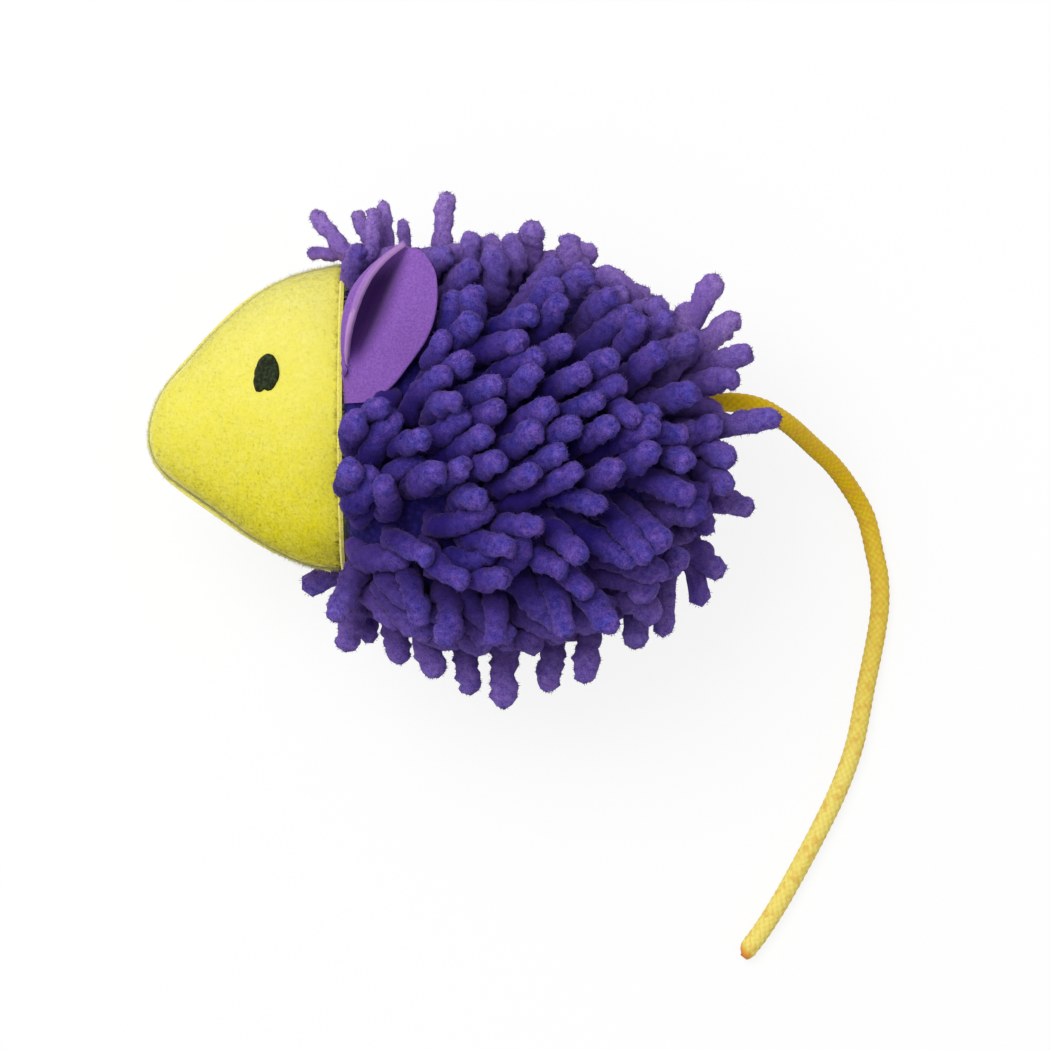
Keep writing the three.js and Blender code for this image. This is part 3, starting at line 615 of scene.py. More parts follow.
def eye(flank, name, node):
    """One eye: a fan that fits its outline, lies on the plush and is ridged with thread."""
    pad = bmesh.new()
    bmesh.ops.create_circle(pad, cap_ends=True, cap_tris=True, segments=90, radius=1)
    spokes = [e for e in pad.edges if not e.is_boundary]
    bmesh.ops.subdivide_edges(pad, edges=spokes, cuts=16, use_grid_fill=True)
    centre = eye_outline.mean(axis=0)
    away = eye_outline - centre
    angles = np.arctan2(away[:, 1], away[:, 0])
    order = np.argsort(angles)
    angles, sizes = angles[order], np.hypot(away[:, 0], away[:, 1])[order]
    flat = np.array([v.co for v in pad.verts])
    turn = np.arctan2(flat[:, 1], flat[:, 0])
    reach = np.hypot(flat[:, 0], flat[:, 1])
    fit = np.interp(turn, angles, sizes, period=2 * np.pi)
    x = centre[0] + np.cos(turn) * fit * reach
    y = centre[1] + np.sin(turn) * fit * reach
    dome = EYE_HEIGHT * np.sqrt(np.clip(1 - reach ** 4, 0, 1)) - EYE_SINK
    wave = np.sin(np.pi * (x + 0.25 * y) / THREAD_PITCH)
    ridge = THREAD_RIDGE * np.abs(wave) * (reach < 0.97)
    z = SEAM_Z + flank * (skin_height(head_rows, x, y) + dome + ridge)
    move_to(pad, zip(x, y, z))
    pad.normal_update()
    face_outwards(pad, flank)
    bmesh.ops.solidify(pad, geom=pad.faces[:], thickness=EYE_WALL)
    make_piece(pad, name, black_thread, "mouse", [node])


for flank, side_name in FLANKS:
    eye(flank, f"{side_name}_stitched_eye", f"{side_name}_eye")

# %% [markdown]
# ## The plush's pile
# Short-pile plush is a field of fibres under a millimetre long. Each is a three-sided spike, set
# at random on the cloth, combed a little towards the neck and bent its own way. Beside the seams
# they are longer and hang over the thread. Under the eyes they are cut short.

# %% Grow the pile
BATCH = 300
# How far before the neck seam the pile starts to change, and over what length, in mm.
NECK_PILE, NECK_PILE_FADE = 1.1, 0.9


def straight_fibre():
    """A three-sided spike from 0 to 1 along Z."""
    spike = bmesh.new()
    bmesh.ops.create_cone(
        spike, cap_ends=True, cap_tris=False, segments=3, radius1=1, radius2=0, depth=1,
    )
    bmesh.ops.translate(spike, vec=(0, 0, 0.5), verts=spike.verts)
    return spike


def copies(pattern, count):
    """One bmesh that holds a pattern many times over."""
    mesh = bpy.data.meshes.new("pattern")
    pattern.to_mesh(mesh)
    pattern.free()
    many = bmesh.new()
    for _ in range(count):
        many.from_mesh(mesh)
    bpy.data.meshes.remove(mesh)
    return many


def plush_pile(flank, name, batches, seed):
    """The pile of one cut of the head, in batches of fibres."""
    draw = np.random.default_rng(seed)
    count = BATCH * batches
    corners = head_skins[flank]
    crossed = np.cross(corners[:, 1] - corners[:, 0], corners[:, 2] - corners[:, 0])
    areas = np.linalg.norm(crossed, axis=1)
    middles = corners.mean(axis=1)
    # The seams turn the cloth's edges up, so that the pile stands about four times as close there.
    close = np.maximum(
        np.clip((middles[:, 0] - NECK_X + NECK_PILE) / NECK_PILE_FADE, 0, 1),
        np.clip(1.5 - np.abs(middles[:, 2] - SEAM_Z), 0, 1),
    )
    likely = areas * (1 + 3.2 * close)
    chosen = draw.choice(len(areas), count, p=likely / likely.sum())
    cut = np.sort(draw.uniform(0, 1, (count, 2)), axis=1)
    weights = np.stack([cut[:, 0], cut[:, 1] - cut[:, 0], 1 - cut[:, 1]], axis=1)
    roots = (corners[chosen] * weights[:, :, None]).sum(axis=1)
    normals = crossed[chosen] / areas[chosen][:, None]
    near_edge = np.clip((roots[:, 0] - NECK_X + NECK_PILE) / NECK_PILE_FADE, 0, 1)
    ways = normals + draw.normal(0, 0.3, (count, 3)) + (0.2, -0.1, 0)
    ways += near_edge[:, None] * (1.1, 0, 0)
    near_seam = np.clip(1.3 - np.abs(roots[:, 2] - SEAM_Z), 0, 1)
    ways[:, 2] -= flank * 0.35 * near_seam
    tall = draw.uniform(0.5, 1.0, count) * PILE_LENGTH
    tall *= 1 + np.maximum(1.4 * near_edge, 1.5 * near_seam)
    eye_at, eye_size = eye_outline.mean(axis=0), np.ptp(eye_outline, axis=0) / 2 + 0.1
    under_eye = (((roots[:, :2] - eye_at) / eye_size) ** 2).sum(axis=1) < 1
    tall[under_eye] = 0.02
    pile = copies(copies(straight_fibre(), BATCH), batches)
    spike = np.array([v.co for v in pile.verts])
    of_fibre = np.repeat(np.arange(count), len(spike) // count)
    side = np.cross(normals, (0.3, 0.5, 0.8))
    side /= np.linalg.norm(side, axis=1)[:, None]
    other = np.cross(normals, side)
    at = (
        roots[of_fibre] - normals[of_fibre] * 0.1
        + side[of_fibre] * spike[:, :1] * PILE_WIDTH / 2
        + other[of_fibre] * spike[:, 1:2] * PILE_WIDTH / 2
        + (ways * tall[:, None])[of_fibre] * spike[:, 2:]
    )
    move_to(pile, at)
    piece = make_piece(pile, name, yellow_plush)
    point_values(piece, "fibre", spike[:, 2])
    # Light passes through the pile where it stands up along the seam, so it is shaded as if it
    # faced further round the flank.
    lit = normals + np.array([0, 0, flank]) * near_seam[:, None]
    lit /= np.linalg.norm(lit, axis=1)[:, None]
    skin_ways(piece, lit[of_fibre])


plush_pile(1, "left_head_pile", 160, 21)
plush_pile(-1, "right_head_pile", 90, 22)

# %% [markdown]
# ## The ears
# Each ear is a leaf of orchid felt, folded along its length and pleated at its foot, where the
# neck seam catches it. It could be a cloth simulation, but pressed felt keeps its fold, so a grid
# is laid on five lines instead: the front rim, the bulge of the front lobe, the valley, the
# shoulder and the rear edge.

# %% The ears' shape
EAR_LENGTH, EAR_WIDTH, EAR_DEPTH = 23.7, 13.7, 6.4
EAR_ALONG_X, EAR_ALONG_Y = 0.393, 0.919
EAR_FOOT_SHARE = 0.13
FELT_WALL, PRESSED_WALL, PLEAT_RISE = 1.3, 0.9, 0.9
# The middle of the CAD's leaf covers 332 square millimetres, or 338 with this foot.
# Across each row: the front rim, the bulge of the front lobe, the valley of the fold, the shoulder
# behind it and the rear edge. Each is along, across and up, in shares of the sizes above. The rim,
# the bulge and the rear edge are the CAD's. The hollow is wider and deeper here, which makes the
# leaf 4 % larger than the CAD's, and the foot goes on down into the neck seam.
EAR_ROWS = [
    ((0.02, 0.03, -0.25), (0, 0.06, -0.28), (-0.05, 0.1, -0.32), (-0.1, 0.14, -0.3), (-0.15, 0.19, -0.25)),
    ((0.09, 0.03, 0.19), (0.06, 0.03, 0.08), (0.05, 0.12, 0.02), (0.02, 0.22, 0.1), (-0.07, 0.44, 0.2)),
    ((0.18, -0.02, 0.44), (0.15, -0.05, 0.23), (0.17, 0.09, -0.04), (0.16, 0.24, 0.27), (0.06, 0.58, 0.36)),
    ((0.28, -0.06, 0.67), (0.25, -0.12, 0.36), (0.28, 0.08, -0.12), (0.29, 0.27, 0.47), (0.23, 0.66, 0.48)),
    ((0.39, -0.08, 0.84), (0.35, -0.17, 0.45), (0.41, 0.07, -0.18), (0.43, 0.29, 0.61), (0.4, 0.72, 0.62)),
    ((0.51, -0.09, 0.94), (0.47, -0.19, 0.5), (0.54, 0.07, -0.15), (0.56, 0.28, 0.69), (0.54, 0.71, 0.72)),
    ((0.64, -0.07, 0.95), (0.6, -0.15, 0.53), (0.67, 0.08, 0.0), (0.69, 0.26, 0.7), (0.68, 0.64, 0.75)),
    ((0.77, 0, 0.86), (0.73, -0.05, 0.56), (0.78, 0.11, 0.27), (0.8, 0.26, 0.68), (0.8, 0.52, 0.7)),
    ((0.89, 0.11, 0.67), (0.87, 0.1, 0.58), (0.87, 0.16, 0.5), (0.88, 0.22, 0.61), (0.88, 0.33, 0.64)),
]
ear_foot_y = NECK_Y + EAR_FOOT_SHARE * HEAD_HEIGHT
ear_foot_rise = HEAD_WIDTH / 2 * math.sqrt(1 - (2 * EAR_FOOT_SHARE) ** 2)


def smooth_rows(table, places):
    """Reads a table at any place along its rows, with a smooth curve through its columns."""
    table = np.asarray(table, float)
    slopes = np.gradient(table, axis=0)
    row = np.clip(places.astype(int), 0, len(table) - 2)
    part = (places - row).reshape(-1, *[1] * (table.ndim - 1))
    return curved(table[row], table[row + 1], slopes[row], slopes[row + 1], part)


def ear_surface(along, across):
    """Places on the middle of the felt: along 0 to 1 from foot to tip, across 0 to 1 from the
    front rim over the fold to the rear edge. They come as shares of length, width and depth."""
    columns = smooth_rows(EAR_ROWS, along * (len(EAR_ROWS) - 1)).transpose(1, 0, 2)
    slopes = np.gradient(columns, axis=0)
    # The felt is spread evenly, though the first columns lie closer together than the last.
    place = np.interp(across, (0, 0.13, 0.37, 0.6, 1), range(5))
    row = np.clip(place.astype(int), 0, 3)
    every = np.arange(len(across))
    part = (place - row)[:, None]
    ends = columns[row, every], columns[row + 1, every]
    return curved(*ends, slopes[row, every], slopes[row + 1, every], part)


def ear_places(shares, flank):
    """Turns shares of an ear's length, width and depth into places in millimetres."""
    along, across, up = shares.T
    x = NECK_X + along * EAR_LENGTH * EAR_ALONG_X + across * EAR_WIDTH * EAR_ALONG_Y
    y = ear_foot_y + along * EAR_LENGTH * EAR_ALONG_Y - across * EAR_WIDTH * EAR_ALONG_X
    base = ear_foot_rise + PLEAT_RISE + 0.3 + FELT_WALL / 2
    return np.stack([x, y, SEAM_Z + flank * (base + up * EAR_DEPTH)], axis=1)


def ear(flank, name, nodes):
    """One felt ear with its foot, folded and given its thickness."""
    leaf = bmesh.new()
    bmesh.ops.create_grid(leaf, x_segments=56, y_segments=44, size=1)
    flat = np.array([v.co for v in leaf.verts])
    along = (flat[:, 0] + 1) / 2
    across = (flat[:, 1] + 1) / 2
    move_to(leaf, ear_places(ear_surface(along, across), flank))
    leaf.normal_update()
    for _ in range(2):
        bmesh.ops.smooth_vert(
            leaf, verts=[v for v in leaf.verts if not v.is_boundary], factor=0.5,
            use_axis_x=True, use_axis_y=True, use_axis_z=True,
        )
    leaf.normal_update()
    face_outwards(leaf, flank)
    leaf.normal_update()
    for vertex in leaf.verts:
        vertex.co += vertex.normal * PRESSED_WALL / 2
    bmesh.ops.solidify(leaf, geom=leaf.faces[:], thickness=PRESSED_WALL)
    for vertex in leaf.verts:
        vertex.co += vertex.normal * (noise.noise(vertex.co / 0.7) * 0.05)
    piece = make_piece(leaf, name, orchid_felt, None, nodes)
    # The felt's two faces have the same places along and across.
    point_values(piece, "along", [*along, *along])
    point_values(piece, "across", [*across, *across])
    whole_area = sum(face.area for face in piece.data.polygons)
    print(name, "has", round(whole_area / MM ** 2), "square mm on both sides and its cut edge")
    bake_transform(piece)


# %% [markdown]
# Craft felt is matted polyester fibre, matt and slightly furry, with lighter fibres caught in its
# face. Its front rim is painted paler, a painted highlight where the cut edge catches the light.

# %% The felt
orchid_felt, shader = new_finish(
    "orchid_polyester_felt",
    Roughness=1.0, IOR=1.45, Sheen_Weight=0.12, Sheen_Roughness=0.5, Specular_IOR_Level=0.05,
)
shader.inputs["Sheen Tint"].default_value = linear("#e9d4ee")
where = add(orchid_felt, "TexCoord").outputs["Object"]
fibre = add(orchid_felt, "TexNoise", {"Vector": where, "Scale": 1 / (0.3 * MM), "Detail": 4.0})
fibre_share = add(orchid_felt, "MapRange", {0: fibre.outputs[0], 1: 0.35, 2: 0.7})
faced = add(
    orchid_felt, "Mix",
    {0: fibre_share.outputs[0], MIX_A: linear("#784ea2"), MIX_B: linear("#8e62b5")},
    data_type="RGBA",
)
across_of = add(orchid_felt, "Attribute", attribute_name="across").outputs["Fac"]
along_of = add(orchid_felt, "Attribute", attribute_name="along").outputs["Fac"]
# Painted shade: the felt is painted darker inside the fold, where daylight does not reach.
# The painted shade fades over these edges: the fold's two sides, the foot and the tip.
FOLD_SHADE_EDGES = ((across_of, 0.1, 0.22), (across_of, 0.66, 0.4), (along_of, 0.1, 0.3), (along_of, 0.95, 0.7))
FOLD_SHADE_SHARE = 0.85
fold, *other_edges = [
    add(orchid_felt, "MapRange", {0: of, 1: start, 2: end}, interpolation_type="SMOOTHSTEP").outputs[0]
    for of, start, end in FOLD_SHADE_EDGES
]
for share in (*other_edges, FOLD_SHADE_SHARE):
    fold = add(orchid_felt, "Math", {0: fold, 1: share}, operation="MULTIPLY").outputs[0]
folded = add(
    orchid_felt, "Mix",
    {0: fold, MIX_A: faced.outputs[MIX_OUT], MIX_B: linear("#452468")},
    data_type="RGBA",
)
# Painted highlight: the front rim is painted pale, where its cut edge catches the light.
lit_front_edge = add(orchid_felt, "MapRange", {0: across_of, 1: 0.04, 2: 0.0, 4: 0.7})
rim_highlighted = add(
    orchid_felt, "Mix",
    {0: lit_front_edge.outputs[0], MIX_A: folded.outputs[MIX_OUT], MIX_B: linear("#c79ccf")},
    data_type="RGBA",
)
orchid_felt.node_tree.links.new(rim_highlighted.outputs[MIX_OUT], shader.inputs["Base Color"])
bump = add(orchid_felt, "Bump", {"Strength": 0.5, "Distance": 0.0001, "Height": fibre.outputs[0]})
orchid_felt.node_tree.links.new(bump.outputs[0], shader.inputs["Normal"])

for flank, side_name in FLANKS:
    ear_name = f"{side_name}_ear"
    ear(flank, f"{side_name}_felt_ear", [ear_name, f"{ear_name}_pleat"])

# %% [markdown]
# ## The noodle cloth's backing
# The body is two cuts of a knitted cloth, into which the chenille noodles are looped. Only dark
# gaps between the noodles show it, but it closes the body where they part.

# %% The backing
BACKING_WALL = 1.6

violet_backing, shader = new_finish(
    "violet_warp_knit_backing",
    Roughness=0.95, IOR=1.45, Sheen_Weight=0.1, Specular_IOR_Level=0.1,
)
where = add(violet_backing, "TexCoord").outputs["Object"]
knit = add(violet_backing, "TexVoronoi", {"Vector": where, "Scale": 1 / (0.9 * MM)})
knit_share = add(violet_backing, "MapRange", {0: knit.outputs[0], 1: 0.1, 2: 0.6})
knitted = add(
    violet_backing, "Mix",
    {0: knit_share.outputs[0], MIX_A: linear("#2c2078"), MIX_B: linear("#1b1458")},
    data_type="RGBA",
)
violet_backing.node_tree.links.new(knitted.outputs[MIX_OUT], shader.inputs["Base Color"])
bump = add(
    violet_backing, "Bump", {"Strength": 0.8, "Distance": 0.0003, "Height": knit.outputs[0]},
    invert=True,
)
violet_backing.node_tree.links.new(bump.outputs[0], shader.inputs["Normal"])


def backing(flank, name, node):
    """One cut of the knitted backing, sewn and filled."""
    cloth = half_dome(
        body_rows, tip=REAR_X, rim=NECK_X + 0.1, rim_angle=math.radians(122), fineness=6,
        flank=flank,
    )
    soft_lumps(cloth, size=11.0, height=0.6)
    cloth.normal_update()
    pulled_in(cloth, reach=1.1, depth=0.6, edge_x=NECK_X, edge_depth=0.9)
    cloth.normal_update()
    bmesh.ops.solidify(cloth, geom=cloth.faces[:], thickness=BACKING_WALL)
    piece = make_piece(cloth, name, violet_backing, "mouse", [node])


for flank, side_name in FLANKS:
    backing(flank, f"{side_name}_backing", f"{side_name}_body_panel")

# %% [markdown]
# ## The noodles
# The body's pile is chenille noodle: soft tufts about 12 mm long and 4 mm thick, hundreds of
# them, each bent its own way. Those that show in the photograph start from where their roots and
# tips show there. Others fill the cloth between them at its own spacing, heading the way their
# neighbours do. Real noodles push each other aside, so a short settling then moves them apart.

# %% Where the noodles grow
NOODLE_LENGTH, NOODLE_DIAMETER = 12.5, 4.2
ROOT_SINK = 1.1
FILL_SPACING = 4.6

LEFT_NOODLES = [
    (345, 243, 310, 208, 2.7), (340, 250, 306, 252, 2.4), (352, 240, 353, 208, 2.6),
    (372, 245, 374, 214, 2.6), (405, 245, 403, 222, 2.5), (447, 250, 447, 190, 3.2),
    (475, 255, 475, 233, 3.6), (505, 255, 507, 233), (362, 275, 361, 246, 3.2),
    (530, 250, 532, 222), (565, 262, 568, 233), (580, 270, 617, 257),
    (640, 310, 645, 284), (693, 320, 718, 275), (715, 335, 741, 312), (722, 365, 752, 352),
    (700, 390, 737, 378), (720, 422, 788, 416), (722, 445, 735, 462), (705, 475, 727, 494),
    (715, 500, 755, 508), (695, 515, 708, 545), (690, 580, 722, 576), (662, 605, 662, 636),
    (635, 620, 634, 648), (582, 645, 583, 684), (548, 655, 547, 693), (500, 650, 504, 710),
    (470, 660, 470, 697), (437, 640, 437, 675), (393, 610, 400, 664), (360, 600, 345, 652),
    (325, 585, 335, 620), (460, 295, 465, 272), (482, 285, 510, 272), (490, 335, 535, 312),
    (465, 355, 522, 345), (464, 316, 461, 352), (408, 414, 450, 372), (470, 400, 500, 385),
    (545, 325, 560, 297), (610, 350, 640, 312), (560, 385, 588, 370), (580, 378, 616, 355),
    (515, 385, 538, 365), (640, 368, 662, 348), (640, 405, 697, 392), (600, 400, 640, 424),
    (550, 440, 577, 422), (583, 440, 615, 423), (495, 455, 540, 425), (420, 440, 461, 412),
    (363, 470, 390, 413), (440, 458, 488, 431), (350, 515, 438, 462), (352, 480, 358, 450),
    (345, 550, 400, 540), (432, 524, 487, 505), (435, 565, 500, 548), (495, 555, 525, 522),
    (395, 580, 425, 605), (443, 590, 440, 645), (492, 590, 497, 648), (625, 465, 656, 447),
    (665, 445, 690, 464), (505, 505, 580, 468), (580, 490, 620, 465), (670, 510, 706, 509),
    (625, 510, 665, 545), (600, 505, 648, 562), (543, 520, 583, 560), (542, 575, 567, 640),
    (565, 565, 615, 632), (620, 590, 655, 615), (560, 300, 588, 270), (592, 318, 615, 292),
    (648, 338, 672, 314), (630, 300, 628, 282),
]
RIGHT_NOODLES = [
    (388, 240, 383, 200, 2.6), (490, 245, 492, 223), (678, 318, 680, 298), (695, 580, 702, 606),
    (372, 600, 373, 643), (315, 570, 302, 590),
]


def cloth_place(x, y, flank):
    """The point of the backing over or under a place, and the way the cloth faces there."""
    middle, half_height, half_width = sections(body_rows, x)
    rise = np.clip((y - middle) / np.maximum(half_height, 0.1), -0.993, 0.993)
    out = np.sqrt(1 - rise ** 2)
    _, _, before = sections(body_rows, x - 1.5)
    _, _, after = sections(body_rows, x + 1.5)
    normal = np.array([
        -(after - before) / 3,
        rise * half_width / max(half_height, 0.1),
        flank * out,
    ])
    normal /= np.linalg.norm(normal)
    return np.array([x, middle + rise * half_height, SEAM_Z + flank * out * half_width]), normal, rise


LINE_POINTS = 8
# Where a noodle's first line bends, counted from its root and from its tip. These and the next
# are shares of a noodle's length.
KNEE, BEND = 0.38, 0.3
# How high a seen tip stands over its root, the least that shows of it from above, and the
# shortest and longest that the settling lets a noodle be.
SEEN_RISE, FLAT_SHARE, SHORTEST, LONGEST = 0.62, 0.66, 0.85, 1.45


def first_line(root, normal, tip, heading, length):
    """A noodle before it settles: it leaves the cloth square to it and bends to its heading."""
    share = np.linspace(0, 1, LINE_POINTS)[:, None]
    start = root - normal * ROOT_SINK
    knee = root + normal * length * KNEE
    bend = tip - np.array([*heading, 0.0]) * length * BEND
    ahead = 1 - share
    return (
        start * ahead ** 3 + 3 * knee * ahead ** 2 * share
        + 3 * bend * ahead * share ** 2 + tip * share ** 3
    )


def planted(root, normal, tip, heading, length=NOODLE_LENGTH, across=NOODLE_DIAMETER, seen=False):
    """What the settling and the mesh need to know about one noodle."""
    line = first_line(root, normal, tip, heading, length)
    return {
        "root": root, "tip": tip, "heading": heading, "seen": seen, "across": across, "line": line,
    }


def seen_noodle(row, flank):
    """A noodle whose root and tip were read from the photograph."""
    root_x, root_y, tip_x, tip_y = row[:4]
    height = SEAM_Z
    for _ in range(3):
        tip = np.array(from_photo(tip_x, tip_y, height))
        line = tip[:2] - np.array(from_photo(root_x, root_y, height))[:2]
        flat = max(np.linalg.norm(line), FLAT_SHARE * NOODLE_LENGTH)
        heading = line / np.linalg.norm(line)
        start = tip[:2] - heading * flat
        x = np.clip(start[0], NECK_X + 0.05 * BODY_LENGTH, NECK_X + 0.95 * BODY_LENGTH)
        root, normal, rise = cloth_place(x, start[1], flank)
        height = root[2] + flank * SEEN_RISE * NOODLE_LENGTH * (1 - rise ** 4)
    tip[2] = height
    return root, normal, tip, heading


EDGE_SCATTER = 2.2
TURN_SCATTER, ROOT_SCATTER, SWAY = 0.5, 0.6, 0.28
# Filling noodles come no nearer to others than this share of their spacing.
CROWDED = 0.62
# Behind the neck seam an ear's leaf and its foot leave a noodle no room: how far back, and from
# and to what height up the back, in mm. Past this rise the cloth has turned away from the ear.
LEAF_ROOM, FOOT_ROOM = (10, 7, 26), (5, 0, 27)
TURNED_AWAY = 0.74
# The rows of filling noodles: how much closer they lie than the spacing, and their first place
# and their span as shares of the body's length.
ROWS_CLOSER, FIRST_ROW, ROWS_SPAN = 1.15, 0.04, 0.9
# How steeply a filling noodle stands in the flank's middle, how much less at its edge, and the
# square of how far its tip is from its root, all as shares of its length.
STAND, LESS_AT_EDGE, REACH_SQUARED = 0.6, 0.26, 0.72
grown = {1: [], -1: []}
draw = np.random.default_rng(5)
for flank, rows in ((1, LEFT_NOODLES), (-1, RIGHT_NOODLES)):
    for row in rows:
        root, normal, tip, heading = seen_noodle(row, flank)
        # Round the edge the photograph doesn't tell how high a tip lies.
        tip[2] += draw.normal(0, EDGE_SCATTER) * (abs(root[1]) > 18)
        across = row[4] if len(row) > 4 else NOODLE_DIAMETER
        grown[flank].append(planted(root, normal, tip, heading, across=across, seen=True))
seen_left = list(grown[1])


def under_an_ear(root, rise):
    """Whether a root lies where the leaf or the foot of an ear leaves a noodle no room."""
    under = [
        root[0] < NECK_X + back and low < root[1] < high
        for back, low, high in (LEAF_ROOM, FOOT_ROOM)
    ]
    return (under[0] and rise > -0.2 or under[1]) and abs(rise) < TURNED_AWAY


def combed(root, rise, flank):
    """Where a filling noodle heads: as the three nearest seen ones do, or tailwards."""
    if flank < 0:
        return np.array([1.0, 0.9 * rise])
    near = sorted(seen_left, key=lambda n: np.linalg.norm(n["root"] - root))[:3]
    return sum(n["heading"] for n in near)


for flank, _ in FLANKS:
    rows_along = round(BODY_LENGTH / FILL_SPACING * ROWS_CLOSER)
    for number in range(rows_along):
        along = FIRST_ROW + ROWS_SPAN * number / (rows_along - 1)
        x = NECK_X + along * BODY_LENGTH
        middle, half_height, half_width = (float(v) for v in sections(body_rows, x))
        girth = math.pi * (half_height + half_width) / 2
        count = max(2, round(girth / FILL_SPACING))
        for place in range(count):
            turn = math.pi * (place + 0.25 + 0.5 * (number % 2)) / count
            turn += draw.normal(0, TURN_SCATTER) / half_height
            spot = x + draw.normal(0, ROOT_SCATTER)
            sway = draw.normal(0, SWAY)
            tall = draw.uniform(0.9, 1.06)
            root, normal, rise = cloth_place(spot, middle + math.cos(turn) * half_height, flank)
            taken = [np.linalg.norm(n["root"] - root) for n in grown[flank]]
            crowded = taken and min(taken) < CROWDED * FILL_SPACING
            if under_an_ear(root, rise) or crowded:
                continue
            heading = combed(root, rise, flank)
            angle = math.atan2(heading[1], heading[0]) + sway
            length = NOODLE_LENGTH * tall
            over = np.array([math.cos(angle), math.sin(angle), 0.0])
            over -= normal * over.dot(normal)
            over += np.array([0.25, 0, 0.1 * flank])
            over /= np.linalg.norm(over)
            stand = STAND - LESS_AT_EDGE * abs(rise) ** 3
            flat = math.sqrt(REACH_SQUARED - stand ** 2)
            tip = root + over * length * flat + normal * length * stand
            grown[flank].append(planted(root, normal, tip, over[:2], length))
print("noodles on the left and right:", len(grown[1]), len(grown[-1]))

# %% [markdown]
# ## Settling the noodles
# Each noodle is a chain of eight points of fixed length. Over a few dozen rounds the chains push
# each other apart, stay outside the cloth, the head, the ears and the floor, and keep clear of
# the tail through its whole swing. Nothing here is random, so each run gives the same pile.

# %% Settle the noodles
ROUNDS = 45
SQUEEZE = 0.86
# The shares of each round: the push between noodles and off the ears, the pull of a seen tip and
# of a filling one to its place, and the smoothing of the lines.
APART_SHARE, EARS_SHARE, SEEN_PULL, FILLING_PULL, SMOOTHING = 0.22, 0.25, 0.35, 0.04, 0.16
# The most that a point is pushed in a round, in mm.
MOST_PUSH = 0.9
# How far past the seam plane the left flank's noodles may hang and the right's may stand, in mm.
LEFT_HANGS, RIGHT_STANDS = 9, 3
# How much of a noodle's radius stays outside the cloth, and above the floor.
OFF_CLOTH, OFF_FLOOR = 0.75, 0.95
# The tail swings 30 degrees each way, and one more degree is kept clear.
TAIL_SWING = math.radians(31)
TAIL_NEAR, TAIL_GAP = 30, 0.15


def obstacle_points():
    """Points on the middle of both ears, which noodles stay clear of."""
    along, across = np.meshgrid(np.linspace(0, 1, 22), np.linspace(0, 1, 16))
    shares = ear_surface(along.ravel(), across.ravel())
    return np.concatenate([ear_places(shares, 1), ear_places(shares, -1)])


def keep_outside(points, rows, radius):
    """Moves points out of a stuffed shape, straight away from its middle line."""
    inside = (points[:, 0] > rows[0, 0]) & (points[:, 0] < rows[-1, 0])
    middle, half_height, half_width = sections(rows, points[:, 0])
    high = points[:, 1] - middle
    wide = points[:, 2] - SEAM_Z
    reach = np.sqrt(
        (high / (half_height + radius + 1e-6)) ** 2 + (wide / (half_width + radius + 1e-6)) ** 2
    )
    push = np.where(inside & (reach < 1), 1 / np.maximum(reach, 0.05), 1)
    points[:, 1] = middle + high * push
    points[:, 2] = SEAM_Z + wide * push


# Round the edge of the toy the pile lies low: its noodles' middles reach this far past the
# cloth's outline, seen from above, and farther behind the rear.
EDGE_REACH, REAR_REACH = 1.7, 4.2
edge_x = NECK_X + BODY_LENGTH * np.sin(np.linspace(0, math.pi / 2, 90))
edge_middle, edge_half, _ = sections(body_rows, edge_x)
edge = np.concatenate([
    np.stack([edge_x, edge_middle + edge_half], axis=1),
    np.stack([edge_x, edge_middle - edge_half], axis=1)[::-1],
])
edge_way = np.gradient(edge, axis=0)
edge_out = np.stack([-edge_way[:, 1], edge_way[:, 0]], axis=1)
edge_out /= np.linalg.norm(edge_out, axis=1)[:, None] + 1e-9


def keep_in_outline(points):
    """Draws points in that lie too far past the outline of the cloth, seen from above."""
    nearest = np.argmin(
        np.linalg.norm(points[:, None, :2] - edge[None, :, :], axis=2), axis=1
    )
    out = edge_out[nearest]
    past = ((points[:, :2] - edge[nearest]) * out).sum(axis=1)
    reach = EDGE_REACH + (REAR_REACH - EDGE_REACH) * np.clip(out[:, 0], 0, 1) ** 2
    points[:, :2] -= out * np.clip(past - reach, 0, None)[:, None]


def clear_of_tail(points, radius, flank):
    """Lifts points over the tail, or presses them under it, wherever it can swing."""
    away = points[:, :2] - np.array(TAIL_ROUTE[0])[:2]
    distance = np.linalg.norm(away, axis=1)
    angle = np.arctan2(away[:, 1], away[:, 0])
    cord = route[route[:, 0] > TAIL_ROUTE[0][0]]
    cord_away = cord[:, :2] - np.array(TAIL_ROUTE[0])[:2]
    cord_distance = np.linalg.norm(cord_away, axis=1)
    near = cord_distance < TAIL_NEAR + 2
    cord_angle = np.interp(
        distance, cord_distance[near], np.arctan2(cord_away[near, 1], cord_away[near, 0])
    )
    cord_height = np.interp(distance, cord_distance[near], cord[near, 2])
    need = CORD_DIAMETER / 2 + radius + TAIL_GAP
    span = TAIL_SWING + np.arcsin(np.clip(need / np.maximum(distance, 0.1), 0, 1))
    met = (np.abs(angle - cord_angle) < span) & (distance < TAIL_NEAR)
    met &= np.abs(points[:, 2] - cord_height) < need
    points[:, 2] = np.where(met, cord_height + flank * need, points[:, 2])


# The rear edge of the ear across, at some places along it, as shares of its width and length.
REAR_EDGE = (
    (-0.2, 0.2), (-0.07, 0.46), (0.06, 0.6), (0.23, 0.68), (0.4, 0.74), (0.54, 0.73),
    (0.68, 0.66), (0.8, 0.54), (0.9, 0.3),
)
